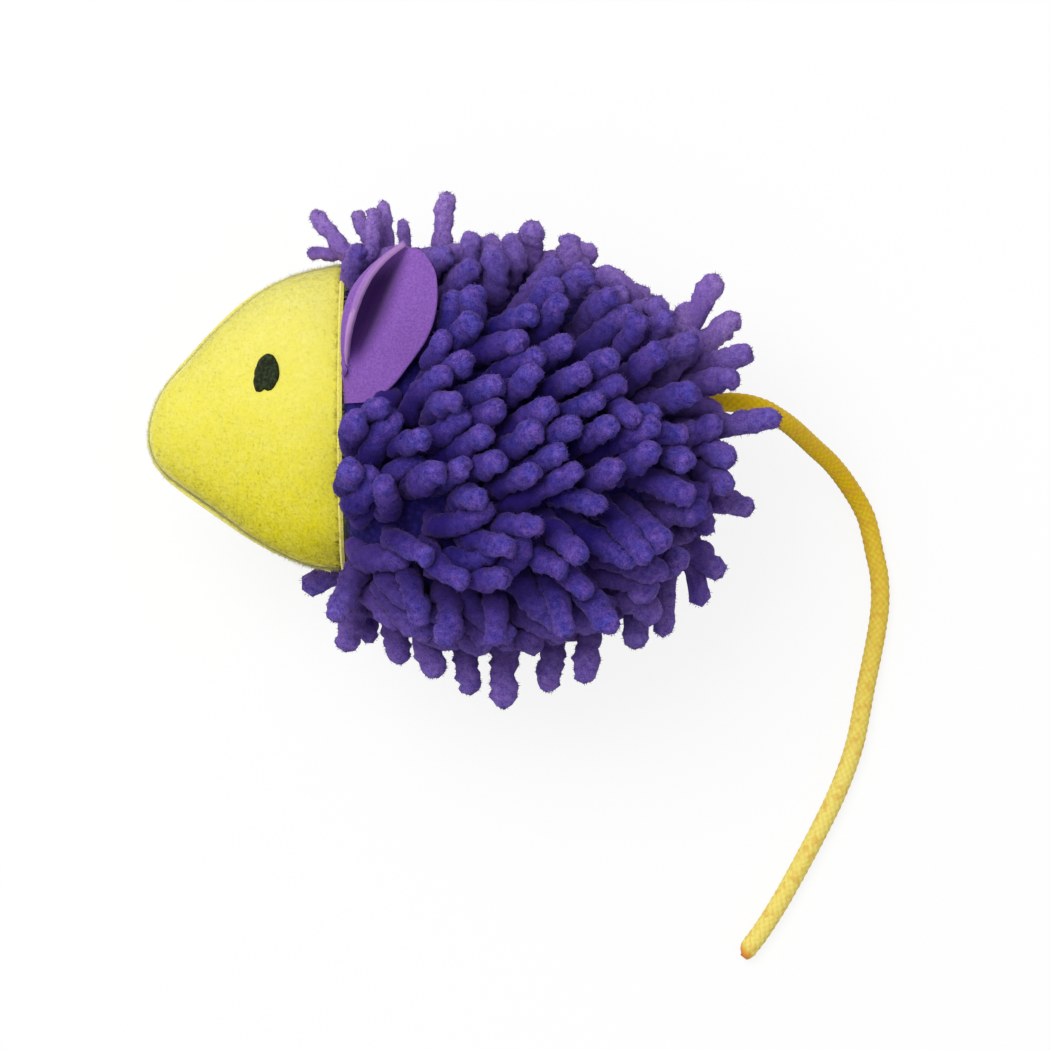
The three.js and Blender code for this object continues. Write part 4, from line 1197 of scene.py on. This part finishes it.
# The ear's room along and across: noodles inside it move before its foot or its front rim, or
# behind its rear edge.
BEFORE_FOOT, PAST_TIP, BEFORE_RIM = -0.25, 0.97, -0.3
FOOT_END, LEAF_MIDDLE = 0.12, 0.2


def clear_of_ear(points, flank):
    """Moves points sideways off the face of the ear, wherever they stand as high as it does."""
    x, y = points[:, 0] - NECK_X, points[:, 1] - ear_foot_y
    along = (x * EAR_ALONG_X + y * EAR_ALONG_Y) / EAR_LENGTH
    across = (x * EAR_ALONG_Y - y * EAR_ALONG_X) / EAR_WIDTH
    margin = NOODLE_DIAMETER / 2 / EAR_WIDTH
    places, edges = zip(*REAR_EDGE)
    rear = np.interp(along, places, edges) + margin
    high = flank * (points[:, 2] - SEAM_Z) > ear_foot_rise - 1.5
    over = high & (along > BEFORE_FOOT) & (along < PAST_TIP)
    over &= (across > BEFORE_RIM) & (across < rear)
    foot = over & (along < FOOT_END)
    back = over & ~foot & (across > LEAF_MIDDLE)
    front = over & ~foot & ~back
    new_along = np.where(foot, BEFORE_FOOT, along)
    new_across = np.where(back, rear, np.where(front, BEFORE_RIM, across))
    turned_x = new_along * EAR_LENGTH * EAR_ALONG_X + new_across * EAR_WIDTH * EAR_ALONG_Y
    turned_y = new_along * EAR_LENGTH * EAR_ALONG_Y - new_across * EAR_WIDTH * EAR_ALONG_X
    points[:, 0] = np.where(over, NECK_X + turned_x, points[:, 0])
    points[:, 1] = np.where(over, ear_foot_y + turned_y, points[:, 1])


def clear_of_head(points, flank):
    """Keeps the pile behind the neck seam, over the flat of the head."""
    beside = np.abs(points[:, 1] - NECK_Y) < HEAD_HEIGHT / 2 - 1
    high = flank * (points[:, 2] - SEAM_Z) > 0.3 * HEAD_WIDTH
    least = NECK_X + NOODLE_DIAMETER / 2 - 0.3
    points[:, 0] = np.where(beside & high, np.maximum(points[:, 0], least), points[:, 0])


def keep_clear(points, radius, flank):
    """Keeps points out of all that a noodle can't enter, and near their own flank."""
    for rows in (body_rows, head_rows):
        keep_outside(points, rows, radius * OFF_CLOTH)
    clear_of_tail(points, radius, flank)
    clear_of_ear(points, flank)
    clear_of_head(points, flank)
    if flank > 0:
        points[:, 2] = np.maximum(points[:, 2], SEAM_Z - LEFT_HANGS)
    else:
        points[:, 2] = np.minimum(points[:, 2], SEAM_Z + RIGHT_STANDS)
    points[:, 2] = np.maximum(points[:, 2], radius * OFF_FLOOR)


def pushed(gaps, need, counted, share):
    """How far points move off others that are nearer than they need to be."""
    distance = np.linalg.norm(gaps, axis=2) + 1e-9
    close = (distance < need) & counted
    push = (gaps * (close * (need - distance) / distance)[:, :, None]).sum(axis=1) * share
    size = np.linalg.norm(push, axis=1)[:, None]
    return push * np.minimum(1, MOST_PUSH / np.maximum(size, 1e-9))


def settle(noodles, flank):
    """Moves a flank's noodles until they hardly overlap, and returns their lines."""
    lines = np.array([n["line"] for n in noodles])
    count = len(lines)
    targets = np.array([n["tip"] for n in noodles])
    seen = np.array([n["seen"] for n in noodles])
    steps = np.linalg.norm(np.diff(lines, axis=1), axis=2)
    gaps = steps.sum(axis=1) / (LINE_POINTS - 1)
    usual = NOODLE_LENGTH / (LINE_POINTS - 1)
    gaps = np.clip(gaps, SHORTEST * usual, LONGEST * usual)
    radius = NOODLE_DIAMETER / 2
    owner = np.repeat(np.arange(count), LINE_POINTS)
    other = owner[:, None] != owner[None, :]
    free = np.clip((np.arange(LINE_POINTS) - 1) / 2.0, 0, 1)
    freedom = np.tile(free, count)[:, None]
    moving = freedom[:, 0] > 0
    filling = np.repeat(~seen, LINE_POINTS)
    pull = np.where(seen, SEEN_PULL, FILLING_PULL)[:, None]
    ears = obstacle_points()
    for _ in range(ROUNDS):
        flat = lines.reshape(-1, 3)
        apart = flat[:, None, :] - flat[None, :, :]
        flat += pushed(apart, 2 * radius * SQUEEZE, other, APART_SHARE) * freedom
        off_ears = flat[:, None, :] - ears[None, :, :]
        flat += pushed(off_ears, radius + FELT_WALL / 2 + 0.1, True, EARS_SHARE) * freedom
        lines = flat.reshape(count, LINE_POINTS, 3)
        aim = targets - lines[:, -1]
        aim[:, 2] *= 0.3
        lines[:, -1] += aim * pull
        lines[:, 2:-1] += (lines[:, 1:-2] + lines[:, 3:] - 2 * lines[:, 2:-1]) * SMOOTHING
        for point in range(1, LINE_POINTS):
            link = lines[:, point] - lines[:, point - 1]
            size = np.linalg.norm(link, axis=1)[:, None]
            lines[:, point] = lines[:, point - 1] + link / size * gaps[:, None]
        flat = lines.reshape(-1, 3)
        drawn = flat[filling]
        keep_in_outline(drawn)
        flat[filling] = drawn
        outer = flat[moving]
        keep_clear(outer, radius, flank)
        flat[moving] = outer
        lines = flat.reshape(count, LINE_POINTS, 3)
    return lines


settled = {flank: settle(grown[flank], flank) for flank, _ in FLANKS}
for flank, side_name in FLANKS:
    tips = np.array([n["tip"] for n in grown[flank]])
    moved = np.linalg.norm(settled[flank][:, -1] - tips, axis=1)
    print(side_name, "tips moved in mm:", round(float(moved.mean()), 2), round(float(moved.max()), 2))

# %% [markdown]
# ## The noodles' mesh
# One straight noodle is made from a cylinder with many rings, and every noodle of the pile is a
# copy of it, bent along its settled line. Chenille is a tuft of cut fibres round a twisted core,
# so its surface is nubby and its end blunt and ragged. Random nubs give each copy its own face.
# Being bent and nubby, they need more faces than a repeated stiff part would.

# %% Noodle meshes
FIBRE_LENGTH, FIBRE_WIDTH = 0.34, 0.13
PILE_HEIGHT = 9.0
CURVE_STEPS = 24
RAGGED, THINNER_AT_TIP = 0.16, 0.14
# The nubs: how many waves run along a noodle, and how high they are as a share of its radius.
NUB_WAVES = ((2.1, 0.04), (3.3, 0.035), (5.2, 0.03), (8.0, 0.03))


def straight_noodle(segments, rings):
    """A cylinder from 0 to 1 along Z, with rings to bend it at."""
    noodle = bmesh.new()
    bmesh.ops.create_cone(
        noodle, cap_ends=True, cap_tris=True, segments=segments, radius1=1, radius2=1, depth=1,
    )
    lengthwise = [e for e in noodle.edges if abs(e.verts[0].co.z - e.verts[1].co.z) > 0.5]
    bmesh.ops.subdivide_edges(noodle, edges=lengthwise, cuts=rings, use_grid_fill=True)
    bmesh.ops.translate(noodle, vec=(0, 0, 0.5), verts=noodle.verts)
    return noodle


def noodle_skin(line, across, draw):
    """The skin of one noodle, as a function of the turn round it and the share along it."""
    thick = draw.uniform(0.88, 1.12) * across / 2 - FIBRE_LENGTH / 3
    blunt = draw.uniform(0.7, 1.3)
    curve, ways = smooth_line(line, CURVE_STEPS)
    sides, ups = carried_frames(ways, (0.3, 0.2, 1))
    places = np.linspace(0, 1, CURVE_STEPS)
    length = np.linalg.norm(np.diff(curve, axis=0), axis=1).sum()
    ragged = draw.uniform(0, 2 * np.pi, 3)
    nubs = [
        (waves, size, folds, draw.uniform(0, 2 * np.pi))
        for waves, size in NUB_WAVES
        for folds in range(4)
    ]

    def skin(turn, share, radial=1.0):
        ends = sum(RAGGED * np.cos(k * turn + ragged[k - 1]) for k in (1, 2, 3))
        to_tip = np.clip((1 - share) * (length + ends), 0, None)
        rounded = np.clip(1 - to_tip / (thick * blunt), 0, 1)
        swell = 1 + sum(
            size * np.cos(folds * turn + 2 * np.pi * waves * share + phase)
            for waves, size, folds, phase in nubs
        )
        thinner = 1 - THINNER_AT_TIP * share
        radius = thick * radial * np.sqrt(1 - rounded ** 2.2) * thinner * swell
        middle, way, side, up = (spread(share, places, rows) for rows in (curve, ways, sides, ups))
        out = side * np.cos(turn)[:, None] + up * np.sin(turn)[:, None]
        around = np.cross(way, out)
        lean = rounded[:, None] * 0.95
        normal = out * np.sqrt(1 - lean ** 2) + way * lean
        return middle + out * radius[:, None], normal, around

    return skin


def over_cloth(places):
    """How high points lie over the backing, as a share of the height of the pile."""
    middle, half_height, half_width = sections(body_rows, places[:, 0])
    reach = np.hypot(
        (places[:, 1] - middle) / np.maximum(half_height, 6),
        (places[:, 2] - SEAM_Z) / np.maximum(half_width, 6),
    )
    lift = np.clip((reach - 1) * half_width / PILE_HEIGHT, 0, 1)
    return np.maximum(lift, np.clip((places[:, 0] - REAR_X) / 6, 0, 1))


def set_out(shape, places):
    """Puts the vertices of a shape at their places, but not below the floor."""
    places = np.concatenate(places)
    places[:, 2] = np.maximum(places[:, 2], 0)
    move_to(shape, places)
    return places


def noodle_bodies(skins, segments, rings, draw):
    """The noodles of a pile in one bmesh, with values for each vertex, and each one's tone."""
    pattern = straight_noodle(segments, rings)
    rest = np.array([v.co for v in pattern.verts])
    turn = np.arctan2(rest[:, 1], rest[:, 0])
    radial = np.hypot(rest[:, 0], rest[:, 1])
    pile = copies(pattern, len(skins))
    places, tones = [], []
    for skin in skins:
        points, normals, _ = skin(turn, rest[:, 2], radial)
        places.append(points + normals * draw.normal(0, 0.05, len(rest))[:, None])
        tones.append(np.full(len(rest), draw.uniform(0, 1)))
    places = set_out(pile, places)
    return pile, {
        "along": np.tile(rest[:, 2], len(skins)), "tone": np.concatenate(tones),
        "lift": over_cloth(places), "fibre": np.zeros(len(places)),
    }, tones


def noodle_fibres(skins, tones, count, draw):
    """Short tapered fibres that stand out of the noodles, with such values and their ways."""
    pattern = copies(straight_fibre(), count)
    spike = np.array([v.co for v in pattern.verts])
    which = np.arange(len(spike)) * count // len(spike)
    fluff = copies(pattern, len(skins))
    places, shares, shades, facing = [], [], [], []
    for skin, tone in zip(skins, tones):
        turn = draw.uniform(0, 2 * np.pi, count)[which]
        share = draw.uniform(0.2, 1.0, count)[which]
        tall = (draw.uniform(0.45, 1.0, count) * FIBRE_LENGTH)[which][:, None]
        sway = draw.normal(0, 0.5, (count, 3))[which]
        points, normals, around = skin(turn, share)
        wide = around * spike[:, :1] + np.cross(normals, around) * spike[:, 1:2]
        rise = spike[:, 2:]
        points = points + wide * FIBRE_WIDTH / 2 + normals * (rise * tall - 0.1) + sway * rise * tall
        places.append(points)
        shares.append(share)
        shades.append(np.full(len(spike), tone[0]))
        facing.append(normals)
    places = set_out(fluff, places)
    return fluff, {
        "along": np.concatenate(shares), "tone": np.concatenate(shades),
        "lift": over_cloth(places), "fibre": np.tile(0.35 + 0.65 * spike[:, 2], len(skins)),
    }, np.concatenate(facing)


# %% [markdown]
# Chenille yarn is cut polyester pile on a twisted core. It is velvety, and its colour is painted
# with light and shade: its sides are deep violet and darkest at the roots and low over the backing,
# as painted shade, and its edges, tips and fibre ends are lavender, as painted light. The colour
# varies a little from tuft to tuft and mottles every half millimetre, which is a lock of fibres.

# %% The chenille
violet_chenille, shader = new_finish(
    "dyed_polyester_chenille_yarn",
    Roughness=1.0, IOR=1.45, Sheen_Weight=0.3, Sheen_Roughness=0.4, Specular_IOR_Level=0.05,
)
shader.inputs["Sheen Tint"].default_value = linear("#ab8ad8")
where = add(violet_chenille, "TexCoord").outputs["Object"]
tuft = add(violet_chenille, "TexNoise", {"Vector": where, "Scale": 1 / (0.9 * MM), "Detail": 5.0})
tuft_share = add(violet_chenille, "MapRange", {0: tuft.outputs[0], 1: 0.3, 2: 0.72})
grain = add(violet_chenille, "TexNoise", {"Vector": where, "Scale": 1 / (0.22 * MM), "Detail": 2.0})
grain_share = add(violet_chenille, "MapRange", {0: grain.outputs[0], 1: 0.38, 2: 0.66})
share_of = add(violet_chenille, "Attribute", attribute_name="along").outputs["Fac"]
tone_of = add(violet_chenille, "Attribute", attribute_name="tone").outputs["Fac"]
lift_of = add(violet_chenille, "Attribute", attribute_name="lift").outputs["Fac"]
fibre_of = add(violet_chenille, "Attribute", attribute_name="fibre").outputs["Fac"]
# Painted shade and highlight: each noodle is painted dark at its root, where shade falls between the
# noodles, and lavender at its tip, where light falls.
to_tip = add(violet_chenille, "MapRange", {0: share_of, 1: 0.42, 2: 0.96})
deep = add(
    violet_chenille, "Mix",
    {0: to_tip.outputs[0], MIX_A: linear("#130e52"), MIX_B: linear("#201a74")},
    data_type="RGBA",
)
# The dye takes unevenly: some patches are bluer and some pinker.
dye = add(violet_chenille, "TexNoise", {"Vector": where, "Scale": 1 / (2.2 * MM), "Detail": 3.0})
dye_share = add(violet_chenille, "MapRange", {0: dye.outputs[0], 1: 0.38, 2: 0.62})
tip_colour = add(
    violet_chenille, "Mix",
    {0: dye_share.outputs[0], MIX_A: linear("#7367d2"), MIX_B: linear("#9672d2")},
    data_type="RGBA",
)
bright = add(
    violet_chenille, "Mix",
    {0: to_tip.outputs[0], MIX_A: linear("#261a72"), MIX_B: tip_colour.outputs[MIX_OUT]},
    data_type="RGBA",
)
# Painted highlight: the fibres of the pile are painted lighter towards their ends.
fibre_part = add(violet_chenille, "Math", {0: fibre_of, 1: 0.5}, operation="MULTIPLY")
tuft_part = add(violet_chenille, "Math", {0: tuft_share.outputs[0], 1: 0.4}, operation="MULTIPLY")
grain_part = add(violet_chenille, "Math", {0: grain_share.outputs[0], 1: 0.3}, operation="MULTIPLY")
tufted = add(violet_chenille, "Math", {0: fibre_part.outputs[0], 1: tuft_part.outputs[0]})
nap = add(violet_chenille, "Math", {0: tufted.outputs[0], 1: grain_part.outputs[0]})
# Painted shade: the pile is painted darker low over the backing, where shade falls between the noodles.
high = add(violet_chenille, "MapRange", {0: lift_of, 1: 0.1, 2: 0.85, 3: 0.45, 4: 1.1})
light_share = add(
    violet_chenille, "Math", {0: nap.outputs[0], 1: high.outputs[0]}, operation="MULTIPLY"
)
mottled_and_shaded = add(
    violet_chenille, "Mix",
    {0: light_share.outputs[0], MIX_A: deep.outputs[MIX_OUT], MIX_B: bright.outputs[MIX_OUT]},
    data_type="RGBA",
)
tone_share = add(violet_chenille, "MapRange", {0: tone_of, 4: 0.22})
toned = add(
    violet_chenille, "Mix",
    {0: tone_share.outputs[0], MIX_A: mottled_and_shaded.outputs[MIX_OUT], MIX_B: linear("#543793")},
    data_type="RGBA",
)
# Painted light: the pile is painted paler round the toy's edge, most of all along its back, where the
# daylight wraps round it.
apart = add(violet_chenille, "SeparateXYZ", {0: where})
off_seam = off_seam_in(violet_chenille, apart)
round_edge = add(violet_chenille, "MapRange", {0: off_seam, 1: 23 * MM, 2: 6 * MM})
lit_up_the_back = add(
    violet_chenille, "MapRange", {0: apart.outputs[1], 1: -12 * MM, 2: 24 * MM, 3: 0.35, 4: 0.9}
)
painted_light_share = add(
    violet_chenille, "Math", {0: round_edge.outputs[0], 1: lit_up_the_back.outputs[0]},
    operation="MULTIPLY",
)
painted_light_colour = add(
    violet_chenille, "Mix",
    {0: light_share.outputs[0], MIX_A: linear("#6f4ea8"), MIX_B: linear("#c3a3de")},
    data_type="RGBA",
)
painted_light = add(
    violet_chenille, "Mix",
    {0: painted_light_share.outputs[0], MIX_A: toned.outputs[MIX_OUT], MIX_B: painted_light_colour.outputs[MIX_OUT]},
    data_type="RGBA",
)
violet_chenille.node_tree.links.new(painted_light.outputs[MIX_OUT], shader.inputs["Base Color"])
skin_of = add(violet_chenille, "Attribute", attribute_name="skin").outputs["Vector"]
bump = add(
    violet_chenille, "Bump",
    {"Strength": 0.8, "Distance": 0.0002, "Height": grain.outputs[0], "Normal": skin_of},
)
violet_chenille.node_tree.links.new(bump.outputs[0], shader.inputs["Normal"])


def pile_piece(shape, name, values, ways=None):
    """A piece of the pile, with what its material reads."""
    piece = make_piece(shape, name, violet_chenille)
    skin_ways(piece, ways)
    for value, each in values.items():
        point_values(piece, value, each)


# The seen flank's noodles are finer and have more fibres: sides, rings and fibres to a half.
NOODLE_DETAIL = {1: (14, 20, 49000), -1: (10, 14, 24000)}
BACK_FROM = 2.5
draw = np.random.default_rng(41)
for flank, side_name in FLANKS:
    segments, rings, budget = NOODLE_DETAIL[flank]
    backs = np.array([n["root"][1] > BACK_FROM for n in grown[flank]])
    all_widths = np.array([n["across"] for n in grown[flank]])
    for half, chosen in (("back", backs), ("belly", ~backs)):
        skins = [
            noodle_skin(line, width, draw)
            for line, width in zip(settled[flank][chosen], all_widths[chosen])
        ]
        pile, values, tones = noodle_bodies(skins, segments, rings, draw)
        pile_piece(pile, f"{side_name}_{half}_noodles", values)
        fluff, values, ways = noodle_fibres(skins, tones, budget // len(skins), draw)
        pile_piece(fluff, f"{side_name}_{half}_fibres", values, ways)
        print("noodles in", side_name, half, len(skins))

# %% [markdown]
# ## Threads and filling
# The seams' threads, the closing stitch, the knot and what fills the toy keep their CAD shapes.
# They show little or not at all, but each still gets the finish of the real thing.

# %% Finishes for the CAD's own nodes


def plain_cloth_finish(name, dark, light, size, **surface):
    """A matt fibre finish that mottles between two colours at one size in millimetres."""
    finish, shader = new_finish(name, **surface)
    where = add(finish, "TexCoord").outputs["Object"]
    grain = add(finish, "TexNoise", {"Vector": where, "Scale": 1 / (size * MM), "Detail": 3.0})
    share = add(finish, "MapRange", {0: grain.outputs[0], 1: 0.35, 2: 0.68})
    colour = add(
        finish, "Mix", {0: share.outputs[0], MIX_A: linear(dark), MIX_B: linear(light)},
        data_type="RGBA",
    )
    finish.node_tree.links.new(colour.outputs[MIX_OUT], shader.inputs["Base Color"])
    relief = add(finish, "Bump", {"Strength": 0.5, "Distance": 0.0002, "Height": grain.outputs[0]})
    finish.node_tree.links.new(relief.outputs[0], shader.inputs["Normal"])
    return finish


thread_surface = {"Roughness": 0.6, "IOR": 1.5, "Sheen_Weight": 0.2}
fibre_surface = {"Roughness": 0.95, "IOR": 1.45, "Sheen_Weight": 0.3}
# Each row: the finish, its two colours, the size of its mottle, its surface and its nodes.
CAD_FINISHES = (
    ("yellow_spun_polyester_thread", "#ded240", "#f2ea84", 0.3, thread_surface,
     ("head_seam_thread", "neck_seam_thread")),
    ("violet_spun_polyester_thread", "#32226c", "#543f96", 0.3, thread_surface,
     ("back_seam_thread", "belly_seam_thread", "closing_stitch")),
    ("white_polyester_fibrefill", "#dcdcd6", "#f6f6f2", 1.2, fibre_surface,
     ("head_stuffing", "body_stuffing")),
    ("crushed_dried_catnip", "#4f5a2c", "#8d945a", 0.8, fibre_surface, ("catnip_filling",)),
)
for name, dark, light, size, surface, nodes in CAD_FINISHES:
    finish = plain_cloth_finish(name, dark, light, size, **surface)
    for node in nodes:
        for slot in bpy.data.objects[node].material_slots:
            slot.material = finish
for slot in bpy.data.objects["tail_knot"].material_slots:
    slot.material = satin_cord

# %% [markdown]
# ## Floor and light
# The photograph has a white ground and even daylight that comes mostly from the top of the
# picture. The floor shows white to the camera and keeps part of the toy's shadow.

# %% Floor and light
FLOOR_HALF = 4
# The share of white in what the camera sees of the floor, and the strength of the daylight
# that falls on everything.
FLOOR_WHITE, DAYLIGHT = 0.85, 0.56
TOY_MIDDLE = Vector((0.005, 0.0, 0.03))

floor_shape = bmesh.new()
bmesh.ops.create_grid(floor_shape, x_segments=1, y_segments=1, size=FLOOR_HALF)
floor_mesh = bpy.data.meshes.new("floor")
floor_shape.to_mesh(floor_mesh)
floor_shape.free()
floor = bpy.data.objects.new("floor", floor_mesh)
bpy.context.collection.objects.link(floor)
pale, shader = new_finish("white_paper", Roughness=0.9, Specular_IOR_Level=0.1)
shader.inputs["Base Color"].default_value = linear("#f4f4f4")
rays = add(pale, "LightPath")
seen = add(pale, "Math", {0: rays.outputs["Is Camera Ray"], 1: FLOOR_WHITE}, operation="MULTIPLY")
white = add(pale, "Emission", {"Color": (1, 1, 1, 1), "Strength": 1.0})
both = add(pale, "MixShader", {0: seen.outputs[0], 1: shader.outputs[0], 2: white.outputs[0]})
pale.node_tree.links.new(both.outputs[0], pale.node_tree.nodes["Material Output"].inputs["Surface"])
floor_mesh.materials.append(pale)

world = bpy.data.worlds.new("daylight")
world.use_nodes = True
around = world.node_tree.nodes["Background"]
around.inputs["Color"].default_value = (1, 1, 1, 1)
rays = add(world, "LightPath")
level = add(world, "MapRange", {0: rays.outputs["Is Camera Ray"], 3: DAYLIGHT})
world.node_tree.links.new(level.outputs[0], around.inputs["Strength"])
bpy.context.scene.world = world


def soft_lamp(name, place, size, power):
    """A square lamp that faces the toy."""
    lamp = bpy.data.lights.new(name, "AREA")
    lamp.size = size
    lamp.energy = power
    holder = bpy.data.objects.new(name, lamp)
    holder.location = place
    aim = TOY_MIDDLE - Vector(place)
    holder.rotation_euler = aim.to_track_quat("-Z", "Y").to_euler()
    bpy.context.collection.objects.link(holder)


soft_lamp("window", place=(-0.27, 0.27, 0.82), size=0.5, power=5.6)
bpy.context.scene.view_settings.view_transform = "Standard"
